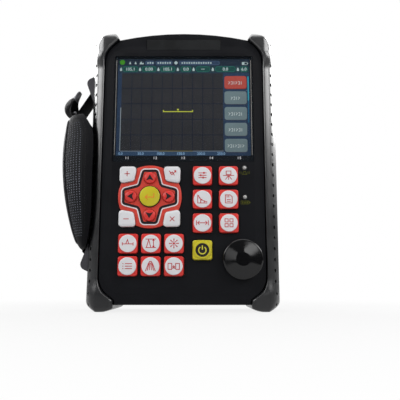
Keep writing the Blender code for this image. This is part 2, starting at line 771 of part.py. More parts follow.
def dimple_spots():
    """Return (x, z) and the outward direction of each dimple on the right bumper's front quarter."""
    spots = []
    heights = [DIMPLE_LOW_Z + DIMPLE_PITCH * i for i in range(DIMPLE_COUNT)] + list(EAR_DIMPLES_Z)
    for z in heights:
        ring = bumper_ring(z)[2:3 + ROUND_STEPS]
        for (x0, y0), (x1, y1) in zip(ring, ring[1:]):
            if y0 <= DIMPLE_Y <= y1:
                x = x0 + (x1 - x0) * (DIMPLE_Y - y0) / (y1 - y0)
                outward = Vector((y1 - y0, x0 - x1, 0.0)).normalized()
                spots.append((Vector((x, DIMPLE_Y, z)), outward))
    return spots


def build_bumper(name, side, material, frame):
    """Build one rubber bumper: a section carried up the side, hollowed to fit the case, dimpled."""
    bm = bmesh.new()
    skin(bm, [[(side * x, y, z) for x, y in bumper_ring(z)] for z in bumper_levels()])
    bumper = piece(name, bm, material, frame)

    bm = bmesh.new()
    prism(bm, core_outline(CLEAR), PANEL_Y + LIP_DEPTH - CLEAR, BACK_Y - LIP_DEPTH + CLEAR)
    boolean(bumper, tool(name + "_seat", bm, frame))

    bm = bmesh.new()
    for spot, outward in dimple_spots():
        turn = Vector((0.0, 0.0, 1.0)).rotation_difference(outward).to_matrix().to_4x4()
        place = Matrix.Translation(spot) @ turn
        bmesh.ops.create_cone(bm, cap_ends=True, segments=DIMPLE_SIDES,
                              radius1=DIMPLE_RADIUS * 0.7, radius2=DIMPLE_RADIUS,
                              depth=2 * DIMPLE_DEPTH, matrix=Matrix.Diagonal((side, 1, 1, 1)) @ place)
    boolean(bumper, tool(name + "_dimples", bm, frame))
    return bumper


# Window, display and name strip


def build_front_trim(materials, frame):
    """Build the name strip, the clear window and the display module behind it."""
    bm = bmesh.new()
    centre = (0.0, (NAME_LOW + NAME_HIGH) / 2)
    strip = rounded_rect(NAME_HALF, (NAME_HIGH - NAME_LOW) / 2, WINDOW_CORNER, centre, 1)
    prism(bm, strip, PANEL_Y + PLATEAU_RISE, PANEL_Y + PLATEAU_RISE + NAME_DEPTH)
    piece("name_plate", bm, materials["plate"], frame)

    bm = bmesh.new()
    centre = (0.0, (WINDOW_LOW + WINDOW_HIGH) / 2)
    window = rounded_rect(WINDOW_HALF, (WINDOW_HIGH - WINDOW_LOW) / 2, WINDOW_CORNER, centre, 1)
    prism(bm, window, PANEL_Y, PANEL_Y + WINDOW_THICK)
    piece("display_window", bm, materials["window"], frame)

    bm = bmesh.new()
    front = PANEL_Y + FACE_WALL + CLEAR
    block(bm, (-DISPLAY_HALF, front, DISPLAY_LOW), (DISPLAY_HALF, front + DISPLAY_DEPTH, DISPLAY_HIGH))
    display = piece("display_module", bm, materials["display"], frame)
    bm = bmesh.new()
    block(bm, (-VIEW_HALF, front - 0.0010, VIEW_LOW), (VIEW_HALF, front + DISPLAY_BEZEL, VIEW_HIGH))
    boolean(display, tool("display_glass", bm, frame))


# Keys


def keypad_front_y():
    """Return the depth of the keypad board's front face."""
    return PANEL_Y + FACE_WALL + CLEAR + KEY_FLANGE_DEPTH + KEY_TRAVEL + BOARD_REST


def key_body(outline, flange=KEY_FLANGE):
    """Return the rings of a key from the back of its flange to its top's edge, about the panel face."""
    flange_front = FACE_WALL + CLEAR
    return [
        flat_ring(outline(flange), flange_front + KEY_FLANGE_DEPTH),
        flat_ring(outline(flange), flange_front),
        flat_ring(outline(0.0), flange_front),
        flat_ring(outline(0.0), KEY_BEVEL - KEY_PROUD),
        flat_ring(outline(-KEY_BEVEL), -KEY_PROUD),
    ]


def build_keys(materials, frame):
    """Build every key of the keypad, each about its own centre on the panel face."""
    dome = [
        flat_ring(circle(DOME_RADIUS, steps=KEY_STEPS), -KEY_PROUD),
        flat_ring(circle(DOME_RADIUS - DOME_HEIGHT, steps=KEY_STEPS), -KEY_PROUD - DOME_HEIGHT),
    ]
    for name, x, z in key_places():
        bm = bmesh.new()
        skin(bm, key_body(square_outline) + dome)
        piece(name, bm, materials["red_key"], frame, (x, PANEL_Y, z))
    bm = bmesh.new()
    skin(bm, key_body(square_outline) + dome)
    piece("power_key", bm, materials["yellow_key"], frame, (POWER_KEY_AT[0], PANEL_Y, POWER_KEY_AT[1]))

    centre = (PAD_AT[0], PANEL_Y, PAD_AT[1])
    arrows = ("up_key", "left_key", "down_key", "right_key")
    for quarter, name in enumerate(arrows):
        bm = bmesh.new()
        rings = key_body(lambda grow: circle(ARROW_RADIUS + grow, steps=KEY_STEPS), ENTER_FLANGE)
        rings.append(flat_ring(circle(ARROW_RADIUS * 0.5, steps=KEY_STEPS), -KEY_PROUD - DOME_HEIGHT))
        skin(bm, rings)
        x, z = arrow_centre(quarter)
        piece(name, bm, materials["red_key"], frame, (x, PANEL_Y, z))

    corners = ("echo_key", "gain_up_key", "gain_down_key", "cancel_key")
    for quarter, name in enumerate(corners):
        bm = bmesh.new()
        skin(bm, key_body(lambda grow, turn=90 * quarter: moved(corner_outline(grow), (0, 0), turn)))
        piece(name, bm, materials["white_key"], frame, centre)

    bm = bmesh.new()
    rings = key_body(lambda grow: circle(ENTER_RADIUS + grow), ENTER_FLANGE)
    rings.append(flat_ring(circle(ENTER_RADIUS * 0.5), -KEY_PROUD - DOME_HEIGHT))
    skin(bm, rings)
    piece("enter_key", bm, materials["yellow_key"], frame, centre)


def build_cursor_plate(material, frame):
    """Build the round plate of the cursor pad with its cross-shaped groove and key openings."""
    back = PANEL_Y + PAD_RECESS - CLEAR
    face = PANEL_Y - PAD_PROUD
    bm = bmesh.new()
    profile = [(PAD_RADIUS, back), (PAD_RADIUS, face + 0.0005), (PAD_RADIUS - 0.0005, face)]
    turned(bm, profile, PAD_AT, PAD_ROUND_STEPS)
    plate = piece("cursor_plate", bm, material, frame)

    bm = bmesh.new()
    for turn in range(4):
        prism(bm, circle(ARROW_RADIUS + CLEAR, arrow_centre(turn), KEY_STEPS), face - 0.0010, back + 0.0010)
        prism(bm, moved(corner_outline(CLEAR), PAD_AT, 90 * turn), face - 0.0010, back + 0.0010)
    prism(bm, circle(ENTER_RADIUS + CLEAR, PAD_AT), face - 0.0010, back + 0.0010)
    boolean(plate, tool("cursor_openings", bm, frame))

    bm = bmesh.new()
    outer = moved(cross_outline(), PAD_AT)
    inner = moved(cross_outline(-GROOVE_WIDTH), PAD_AT)
    ring_prism(bm, outer, inner, face - 0.0010, face + GROOVE_DEPTH)
    boolean(plate, tool("cursor_groove", bm, frame))


# Knob, encoder and lamps


def build_jog(materials, frame):
    """Build the jog knob, its shaft and the encoder that carries the shaft."""
    bm = bmesh.new()
    top = -KNOB_GAP - KNOB_HEIGHT
    bore = SHAFT_RADIUS + CLEAR
    turned(bm, [
        (bore, top + KNOB_HEIGHT - SHAFT_ENGAGE),
        (bore, -KNOB_GAP),
        (KNOB_RADIUS - 0.0006, -KNOB_GAP),
        (KNOB_RADIUS, -KNOB_GAP - 0.0020),
        (KNOB_RADIUS, top + KNOB_CROWN + KNOB_BEVEL),
        (KNOB_RADIUS - KNOB_BEVEL * 0.3, top + KNOB_CROWN + KNOB_BEVEL * 0.3),
        (KNOB_RADIUS - KNOB_BEVEL, top + KNOB_CROWN),
        (KNOB_FLAT, top),
    ], (0.0, 0.0), KNOB_STEPS)
    location = (KNOB_AT[0], PANEL_Y, KNOB_AT[1])
    piece("jog_knob", bm, materials["knob"], frame, location)

    bm = bmesh.new()
    shaft_front = -KNOB_GAP - SHAFT_ENGAGE + CLEAR
    turned(bm, [(SHAFT_RADIUS, FACE_WALL), (SHAFT_RADIUS, shaft_front)], (0.0, 0.0))
    piece("jog_shaft", bm, materials["steel"], frame, location)

    bm = bmesh.new()
    front = PANEL_Y + FACE_WALL + CLEAR
    half = ENCODER_SIZE / 2
    low = (KNOB_AT[0] - half, front, KNOB_AT[1] - half)
    block(bm, low, (KNOB_AT[0] + half, keypad_front_y() - CLEAR, KNOB_AT[1] + half))
    encoder = piece("jog_encoder", bm, materials["steel"], frame)
    bm = bmesh.new()
    turned(bm, [(BUSH_RADIUS, PANEL_Y), (BUSH_RADIUS, front + 0.0010)], KNOB_AT)
    boolean(encoder, tool("encoder_bush", bm, frame), "UNION")
    bm = bmesh.new()
    bore = SHAFT_RADIUS + CLEAR
    turned(bm, [(bore, PANEL_Y - 0.0010), (bore, PANEL_Y + FACE_WALL + CLEAR)],
           KNOB_AT)
    boolean(encoder, tool("encoder_bore", bm, frame))


def build_lamps(material, frame):
    """Build the alarm lamp and the charge lamp, standing on the keypad board."""
    for name, z in zip(("alarm_lamp", "charge_lamp"), LAMPS_Z):
        bm = bmesh.new()
        turned(bm, [
            (LAMP_RADIUS, keypad_front_y() - CLEAR),
            (LAMP_RADIUS, PANEL_Y - LAMP_PROUD * 0.3),
            (LAMP_RADIUS * 0.75, PANEL_Y - LAMP_PROUD * 0.8),
            (LAMP_RADIUS * 0.3, PANEL_Y - LAMP_PROUD),
        ], (LAMP_X, z), 12)
        piece(name, bm, material, frame)


# Inside


def build_inside(materials, frame):
    """Build the boards, the screening can, the buzzer and the battery pack."""
    bm = bmesh.new()
    board_y = keypad_front_y()
    block(bm, (-KEYPAD_HALF, board_y, KEYPAD_LOW), (KEYPAD_HALF, board_y + BOARD_THICK, KEYPAD_HIGH))
    piece("keypad_board", bm, materials["board"], frame)

    bm = bmesh.new()
    block(bm, (-MAIN_HALF, MAIN_FRONT_Y, MAIN_LOW), (MAIN_HALF, MAIN_FRONT_Y + BOARD_THICK, MAIN_HIGH))
    piece("main_board", bm, materials["board"], frame)

    bm = bmesh.new()
    can = rounded_rect(SHIELD_HALF[0], SHIELD_HALF[1], 0.0020, SHIELD_AT, 1)
    prism(bm, can, MAIN_FRONT_Y - CLEAR - SHIELD_DEPTH, MAIN_FRONT_Y - CLEAR)
    piece("pulser_shield", bm, materials["steel"], frame)

    bm = bmesh.new()
    back = MAIN_FRONT_Y + BOARD_THICK + CLEAR
    turned(bm, [(BUZZER_RADIUS, back), (BUZZER_RADIUS, back + BUZZER_DEPTH)], BUZZER_AT)
    piece("buzzer", bm, materials["plastic"], frame)

    bm = bmesh.new()
    middle_y = BACK_Y - FACE_WALL - CLEAR - CELL_RADIUS
    outline = []
    for side in (1, -1):
        for i in range(CELL_COUNT):
            order = i if side < 0 else CELL_COUNT - 1 - i
            x = (order - (CELL_COUNT - 1) / 2) * 2 * CELL_RADIUS
            start, end = (20, 160) if side > 0 else (200, 340)
            outline += arc((x, middle_y), CELL_RADIUS, start, end, 5)
    skin(bm, [level_ring(outline, BATTERY_LOW), level_ring(outline, BATTERY_LOW + CELL_LENGTH)])
    piece("battery_pack", bm, materials["battery"], frame)


# Back


def build_battery_door(material, frame):
    """Build the battery door, a flanged plate with grip grooves."""
    middle = (0.0, (DOOR_LOW + DOOR_HIGH) / 2)
    half_z = (DOOR_HIGH - DOOR_LOW) / 2
    plug = rounded_rect(DOOR_HALF - DOOR_FLANGE, half_z - DOOR_FLANGE, DOOR_CORNER, middle)
    lid = rounded_rect(DOOR_HALF, half_z, DOOR_CORNER, middle)
    bm = bmesh.new()
    skin(bm, [
        flat_ring(plug, BACK_Y - FACE_WALL),
        flat_ring(plug, BACK_Y - DOOR_LIP),
        flat_ring(lid, BACK_Y - DOOR_LIP),
        flat_ring(lid, BACK_Y),
    ])
    door = piece("battery_door", bm, material, frame)
    bm = bmesh.new()
    for i in range(DOOR_GROOVES):
        z = DOOR_HIGH - 0.0080 - 0.0030 * i
        block(bm, (-0.0150, BACK_Y - 0.0006, z), (0.0150, BACK_Y + 0.0010, z + 0.0014))
    boolean(door, tool("door_grooves", bm, frame))


def build_stand(materials, frame):
    """Build the tilt stand about its hinge axis, and the pin it turns on."""
    location = (0.0, STAND_AXIS_Y, STAND_AXIS_Z)
    half = STAND_HALF - 0.0004
    near = BACK_Y + CLEAR - STAND_AXIS_Y
    bm = bmesh.new()
    plate = [(-half, -0.0008), (-half + STAND_TIP, -STAND_LENGTH)]
    plate += arc((0.0, -STAND_LENGTH), STAND_NOTCH, 180, 0, 6)
    plate += [(half - STAND_TIP, -STAND_LENGTH), (half, -0.0008)]
    prism(bm, plate, near, near + STAND_THICK)
    stand = piece("tilt_stand", bm, materials["plastic"], frame, location)

    bm = bmesh.new()
    barrel = circle(STAND_BARREL, (STAND_AXIS_Y, STAND_AXIS_Z), 12)
    skin(bm, [side_ring(barrel, -half), side_ring(barrel, half)])
    boolean(stand, tool("stand_barrel", bm, frame), "UNION")

    bm = bmesh.new()
    bore = circle(PIN_RADIUS + CLEAR, (STAND_AXIS_Y, STAND_AXIS_Z), 8)
    skin(bm, [side_ring(bore, -half - 0.0010), side_ring(bore, half + 0.0010)])
    boolean(stand, tool("stand_bore", bm, frame))

    bm = bmesh.new()
    middle = (0.0, STAND_AXIS_Z - STAND_LENGTH * 0.45)
    panel = rounded_rect(STAND_HALF - 2 * STAND_TIP, STAND_LENGTH * 0.28, 0.0040, middle)
    outer_y = BACK_Y + CLEAR + STAND_THICK
    prism(bm, panel, outer_y - STAND_RIB, outer_y + 0.0010)
    boolean(stand, tool("stand_panel", bm, frame))

    bm = bmesh.new()
    pin = circle(PIN_RADIUS, (STAND_AXIS_Y, STAND_AXIS_Z), 8)
    reach = STAND_HALF + HINGE_LUG - 0.0010 - CLEAR
    skin(bm, [side_ring(pin, -reach), side_ring(pin, reach)])
    piece("stand_pin", bm, materials["steel"], frame)


def build_sockets(materials, frame):
    """Build the two probe sockets, the charging socket and the data socket on the crowned top."""
    for name, x in zip(("probe_socket_a", "probe_socket_b"), PROBE_X):
        seat = crown_z(0) + CLEAR
        top = seat + SOCKET_HEIGHT
        bm = bmesh.new()
        turned_up(bm, [
            (SOCKET_RADIUS, seat - SOCKET_TAIL),
            (SOCKET_RADIUS, seat),
            (SOCKET_FLANGE, seat),
            (SOCKET_FLANGE, seat + SOCKET_FLANGE_THICK),
            (SOCKET_RADIUS, seat + SOCKET_FLANGE_THICK),
            (SOCKET_RADIUS, top - 0.0005),
            (SOCKET_RADIUS - 0.0005, top),
            (SOCKET_BORE, top),
            (SOCKET_BORE, top - SOCKET_BORE_DEPTH),
        ], (x, SOCKET_Y), KEY_STEPS)
        piece(name, bm, materials["steel"], frame)

    seat = crown_z(0) + CLEAR
    bm = bmesh.new()
    turned_up(bm, [
        (CHARGE_RADIUS, seat - SOCKET_TAIL),
        (CHARGE_RADIUS, seat),
        (CHARGE_RADIUS + 0.0015, seat),
        (CHARGE_RADIUS + 0.0015, seat + CHARGE_HEIGHT),
        (CHARGE_BORE, seat + CHARGE_HEIGHT),
        (CHARGE_BORE, seat + CHARGE_HEIGHT - 0.0060),
    ], (CHARGE_X, SOCKET_Y), KEY_STEPS)
    piece("charge_socket", bm, materials["plastic"], frame)

    bm = bmesh.new()
    level = crown_z(USB_X) + CLEAR
    low = (USB_X - USB_HALF[0], SOCKET_Y - USB_HALF[1], level - SOCKET_TAIL)
    block(bm, low, (USB_X + USB_HALF[0], SOCKET_Y + USB_HALF[1], level + USB_HEIGHT))
    usb = piece("data_socket", bm, materials["plastic"], frame)
    bm = bmesh.new()
    low = (USB_X - USB_SLOT[0], SOCKET_Y - USB_SLOT[1], level + USB_HEIGHT - 0.0050)
    block(bm, low, (USB_X + USB_SLOT[0], SOCKET_Y + USB_SLOT[1], level + USB_HEIGHT + 0.0010))
    boolean(usb, tool("data_slot", bm, frame))


# Hand strap


def build_lug(name, z, bar_z, way, material, frame):
    """Build one strap lug, its cheeks' round tip up for way 1, on a base on the case, with its bar."""
    base_x = -CORE_HALF - CLEAR
    bm = bmesh.new()
    base = rounded_rect(LUG_HALF_Y, LUG_BASE_HALF, LUG_BASE_ROUND, (STRAP_Y, z), 2)
    skin(bm, [side_ring(base, base_x), side_ring(base, base_x - LUG_BASE_THICK)])
    lug = piece(name, bm, material, frame)
    root = LUG_BASE_HALF - LUG_CHEEK_INSET
    foot = base_x - LUG_BASE_THICK * 0.5
    tip = arc((-LUG_REACH + LUG_CORNER, LUG_APEX), LUG_CORNER, 110, 200, 4)
    cheek = [(foot, -root), (foot, root), (-LUG_NECK, root)] + tip + [(-LUG_NECK, -root)]
    cheek = [(x, z + way * up) for x, up in cheek]
    for side, label in ((-1, "_front_cheek"), (1, "_back_cheek")):
        bm = bmesh.new()
        outer = STRAP_Y + side * (LUG_HALF_Y - 0.0004)
        prism(bm, cheek, outer, outer - side * LUG_PLATE)
        boolean(lug, tool(name + label, bm, frame), "UNION")
    bm = bmesh.new()
    reach = LUG_HALF_Y - 0.0010
    turned(bm, [(BAR_RADIUS, STRAP_Y - reach), (BAR_RADIUS, STRAP_Y + reach)], (-BAR_X, bar_z), 10)
    boolean(lug, tool(name + "_bar", bm, frame), "UNION")


def cut_lug_pockets(bumper, frame):
    """Cut the two openings in the left bumper through which the lugs reach the case."""
    bm = bmesh.new()
    for z in (UPPER_LUG_Z, LOWER_LUG_Z):
        pocket = rounded_rect(LUG_HALF_Y + CLEAR, LUG_BASE_HALF + CLEAR, LUG_BASE_ROUND + CLEAR,
                              (STRAP_Y, z), 2)
        skin(bm, [side_ring(pocket, -CORE_HALF + 0.0005), side_ring(pocket, -HALF_WIDTH - 0.0020)])
    boolean(bumper, tool("lug_pockets", bm, frame))


def strip(bm, route, half_width, thick, tips=None):
    """Lay a flat strip along a route of (x, z), its width running in depth and scaled by tips."""
    rings = []
    last = len(route) - 1
    for i, (x, z) in enumerate(route):
        ahead = Vector(route[min(i + 1, last)]) - Vector(route[max(i - 1, 0)])
        normal = Vector((-ahead.y, ahead.x)).normalized() * thick / 2
        half = half_width if tips is None else half_width * tips[i]
        ring = []
        for way, side in ((-1, 1), (1, 1), (1, -1), (-1, -1)):
            ring.append((x + side * normal.x, STRAP_Y + way * half, z + side * normal.y))
        rings.append(ring)
    skin(bm, rings)


def band_x(y):
    """Return how far out the bumper's band reaches at a depth, or 0 in front of it and behind it."""
    share = abs(y - PARTING_Y) / (PARTING_Y - PANEL_Y + BAND_PROUD)
    if share >= 1:
        return 0.0
    flat_end = PANEL_HALF + BAND_PROUD
    return flat_end + (HALF_WIDTH - flat_end) * (1 - share ** BUMPER_POWER) ** (1 / BUMPER_POWER)


def larger(first, second):
    """Return about the larger of two lengths, with the corner between them rounded off."""
    return (first ** BLEND_POWER + second ** BLEND_POWER) ** (1 / BLEND_POWER)


def pad_share(step):
    """Return the share of the pad's length at a step, closer together towards its ends."""
    return 0.5 - 0.5 * math.cos(math.pi * step / PAD_STEPS)


def pad_reach(share):
    """Return how far out the strap pad bows at a share of its length."""
    rise = 4 * share * (1 - share)
    return PAD_LOW_REACH + (PAD_HIGH_REACH - PAD_LOW_REACH) * share + PAD_BOW * rise ** PAD_BOW_POWER


def pad_ring(share):
    """Return the strap pad's section at a share of its length: a C whose open side faces the bumper."""
    rise = 4 * share * (1 - share)
    z = PAD_LOW + (PAD_HIGH - PAD_LOW) * share
    half_y = PAD_END_HALF + (PAD_HALF_Y - PAD_END_HALF) * rise ** 0.3
    thick = min(PAD_THICK, 0.16 * half_y + 0.0005)
    tuck = max((share - PAD_TUCK) / (1 - PAD_TUCK), 0.0) ** PAD_TUCK_POWER
    edge = PAD_EDGE + (PAD_HIGH_EDGE - PAD_EDGE) * tuck
    inner_half = half_y - thick * 0.5 - abs(STRAP_Y - PARTING_Y)
    edge = larger(edge, band_x(PARTING_Y + inner_half) + PAD_CLEAR)
    depth = pad_reach(share) - edge
    closed = max(1 - 7 * min(share, 1 - share), 0.0)
    crown = min(thick, depth * 0.6)
    crown += (depth * PAD_END_WALL - crown) * closed
    outside = []
    inside = []
    steps = 10
    for i in range(steps + 1):
        angle = math.pi * (i / steps - 0.5)
        wall = crown * (0.5 + 0.5 * math.cos(angle))
        bulge = max(math.cos(angle), 0.0) ** 0.9
        inner_y = STRAP_Y + (half_y - thick * 0.4) * math.sin(angle)
        outside.append((-edge - depth * bulge, STRAP_Y + half_y * math.sin(angle), z))
        inside.append((-edge - depth * bulge + wall * bulge, inner_y, z))
    return outside + inside[::-1]


def build_strap(materials, frame):
    """Build the padded hand strap: pad, webbing round both lug bars, curled tail and rivet."""
    bm = bmesh.new()
    skin(bm, [pad_ring(pad_share(i)) for i in range(PAD_STEPS + 1)])
    piece("strap_pad", bm, materials["leather"], frame)

    reach = BAR_RADIUS + CLEAR + WEB_THICK / 2
    high_x = -TAIL_START + WEB_THICK / 2 + CLEAR
    low_x = -PAD_LOW_REACH + PAD_WEB_INSET
    for name, bar_z, way, x, z in (("upper_webbing", UPPER_BAR_Z, 1, high_x, PAD_HIGH + CLEAR),
                                   ("lower_webbing", LOWER_BAR_Z, -1, low_x, PAD_LOW - CLEAR)):
        loop = [(turn_x, bar_z + way * up) for turn_x, up in arc((-BAR_X, 0.0), reach, 0, 180, 6)]
        route = [(-BAR_X + reach, bar_z - way * WEB_LEG)] + loop + [(x, z + way * WEB_THICK), (x, z)]
        bm = bmesh.new()
        strip(bm, route, WEB_HALF, WEB_THICK)
        piece(name, bm, materials["webbing"], frame)

    bm = bmesh.new()
    base_z = PAD_HIGH + CLEAR + TAIL_THICK / 2
    centre = (-TAIL_REACH + TAIL_THICK / 2 + TAIL_CURL, base_z + TAIL_CURL)
    curl = arc(centre, TAIL_CURL, 270, 135, 6)
    tongue = [(curl[-1][0] + far * math.sqrt(0.5), curl[-1][1] + far * math.sqrt(0.5))
              for far in (TAIL_TIP * 0.4, TAIL_TIP)]
    tips = [1.0] * len(curl) + [0.95, 0.55, 0.3]
    strip(bm, [(-TAIL_START, base_z)] + curl + tongue, TAIL_HALF, TAIL_THICK, tips)
    piece("strap_tail", bm, materials["leather"], frame)

    bm = bmesh.new()
    seat = PAD_HIGH + CLEAR + TAIL_THICK + CLEAR
    turned_up(bm, [
        (RIVET_RADIUS, seat),
        (RIVET_RADIUS, seat + RIVET_HEIGHT * 0.5),
        (RIVET_RADIUS * 0.5, seat + RIVET_HEIGHT),
    ], RIVET_AT, 10)
    piece("strap_rivet", bm, materials["steel"], frame)


def build_all():
    """Clear the scene and build the whole device on its frame."""
    for obj in list(bpy.data.objects):
        bpy.data.objects.remove(obj, do_unlink=True)
    frame = bpy.data.objects.new("device_frame", None)
    bpy.context.scene.collection.objects.link(frame)
    front = PANEL_Y - KNOB_GAP - KNOB_HEIGHT
    back = STRAP_Y + PAD_HALF_Y
    reach = max([TAIL_REACH] + [pad_reach(pad_share(i)) for i in range(PAD_STEPS + 1)])
    frame.location = ((reach - HALF_WIDTH) / 2, -(front + back) / 2, 0.0)

    materials = {
        "case": make_material("case_plastic", (0.012, 0.013, 0.015), 0.45),
        "rubber": make_material("bumper_rubber", (0.030, 0.032, 0.036), 0.55),
        "gasket": make_material("gasket_rubber", (0.010, 0.010, 0.010), 0.70),
        "plate": make_material("name_strip", (0.008, 0.009, 0.010), 0.35),
        "window": make_material("window_acrylic", (0.02, 0.03, 0.04), 0.05),
        "display": make_material("display_glass", (0.030, 0.050, 0.080), 0.20),
        "red_key": make_material("red_key", (0.62, 0.035, 0.022), 0.35),
        "white_key": make_material("white_key", (0.80, 0.80, 0.82), 0.35),
        "yellow_key": make_material("yellow_key", (0.62, 0.54, 0.02), 0.35),
        "cursor": make_material("cursor_plate", (0.60, 0.035, 0.020), 0.35),
        "knob": make_material("knob_gloss", (0.010, 0.011, 0.012), 0.15),
        "lamp": make_material("lamp_lens", (0.75, 0.76, 0.78), 0.20),
        "steel": make_material("plated_steel", (0.60, 0.60, 0.62), 0.30, 1.0),
        "board": make_material("circuit_board", (0.02, 0.16, 0.05), 0.50),
        "plastic": make_material("black_plastic", (0.014, 0.014, 0.015), 0.50),
        "battery": make_material("battery_sleeve", (0.05, 0.12, 0.32), 0.45),
        "leather": make_material("strap_leather", (0.012, 0.012, 0.013), 0.60),
        "webbing": make_material("strap_webbing", (0.014, 0.014, 0.015), 0.75),
    }

    build_front_case(materials["case"], frame)
    build_rear_case(materials["case"], frame)
    build_gasket(materials["gasket"], frame)
    left = build_bumper("left_bumper", -1, materials["rubber"], frame)
    cut_lug_pockets(left, frame)
    build_bumper("right_bumper", 1, materials["rubber"], frame)
    build_front_trim(materials, frame)
    build_keys(materials, frame)
    build_cursor_plate(materials["cursor"], frame)
    build_jog(materials, frame)
    build_lamps(materials["lamp"], frame)
    build_inside(materials, frame)
    build_battery_door(materials["plastic"], frame)
    build_stand(materials, frame)
    build_sockets(materials, frame)
    build_lug("upper_strap_lug", UPPER_LUG_Z, UPPER_BAR_Z, 1, materials["plastic"], frame)
    build_lug("lower_strap_lug", LOWER_LUG_Z, LOWER_BAR_Z, -1, materials["plastic"], frame)
    build_strap(materials, frame)


build_all()
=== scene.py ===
"""Looks of a hand-held ultrasonic flaw detector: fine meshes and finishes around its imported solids.

Every length is in metres. Shapes are drawn in the device's own frame, where x = 0 is the middle of the
case, the face that carries the keys lies at y = FACE_Y and the feet stand at z = 0. They are moved to the
row's frame when they become pieces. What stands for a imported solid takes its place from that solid's box.
"""

import json
import logging
import math
from collections.abc import Callable, Iterable, Sequence
from dataclasses import dataclass, field, replace
from enum import Enum

import bmesh
import bpy
from mathutils import Matrix, Vector

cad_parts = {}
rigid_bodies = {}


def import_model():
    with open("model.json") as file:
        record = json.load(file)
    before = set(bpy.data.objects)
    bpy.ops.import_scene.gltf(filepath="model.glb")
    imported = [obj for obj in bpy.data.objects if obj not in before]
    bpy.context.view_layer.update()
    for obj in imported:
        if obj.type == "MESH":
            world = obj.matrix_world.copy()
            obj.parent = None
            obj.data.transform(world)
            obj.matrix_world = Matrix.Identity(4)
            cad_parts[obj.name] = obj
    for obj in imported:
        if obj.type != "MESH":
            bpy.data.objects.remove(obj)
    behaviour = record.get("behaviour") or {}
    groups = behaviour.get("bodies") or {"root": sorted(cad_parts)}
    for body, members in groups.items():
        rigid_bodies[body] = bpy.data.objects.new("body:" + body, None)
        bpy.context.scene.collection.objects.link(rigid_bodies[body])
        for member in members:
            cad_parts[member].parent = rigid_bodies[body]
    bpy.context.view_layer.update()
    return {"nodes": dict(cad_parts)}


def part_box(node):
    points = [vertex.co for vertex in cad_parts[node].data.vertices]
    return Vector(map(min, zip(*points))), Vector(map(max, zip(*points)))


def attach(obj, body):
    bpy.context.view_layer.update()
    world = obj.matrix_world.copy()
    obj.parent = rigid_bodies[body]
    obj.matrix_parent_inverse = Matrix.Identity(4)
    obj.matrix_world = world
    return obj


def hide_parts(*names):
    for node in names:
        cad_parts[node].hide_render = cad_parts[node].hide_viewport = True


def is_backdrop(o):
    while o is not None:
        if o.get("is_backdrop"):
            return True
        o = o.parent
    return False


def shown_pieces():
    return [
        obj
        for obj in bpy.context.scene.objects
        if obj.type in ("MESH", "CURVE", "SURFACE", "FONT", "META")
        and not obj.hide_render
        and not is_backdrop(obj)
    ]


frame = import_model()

LOG = logging.getLogger("flaw_detector")

Point = tuple[float, float]
Colour = tuple[float, float, float]
Settings = dict[str, object]
Surface = Callable[[float, float], float]
Value = "Sock | float | Colour"

FACE_Y = -0.030
PARTING_Y = -0.0025
BACK_Y = 0.025
MM = 0.001


def srgb(red: int, green: int, blue: int) -> Colour:
    """Return the linear colour of three display values from 0 to 255.

    Args:
        red: The red value.
        green: The green value.
        blue: The blue value.

    Returns:
        The colour's three parts, each from 0 to 1.
    """
    parts = []
    for part in (red / 255, green / 255, blue / 255):
        parts.append(part / 12.92 if part <= 0.04045 else ((part + 0.055) / 1.055) ** 2.4)
    return tuple(parts)


# Shader maths


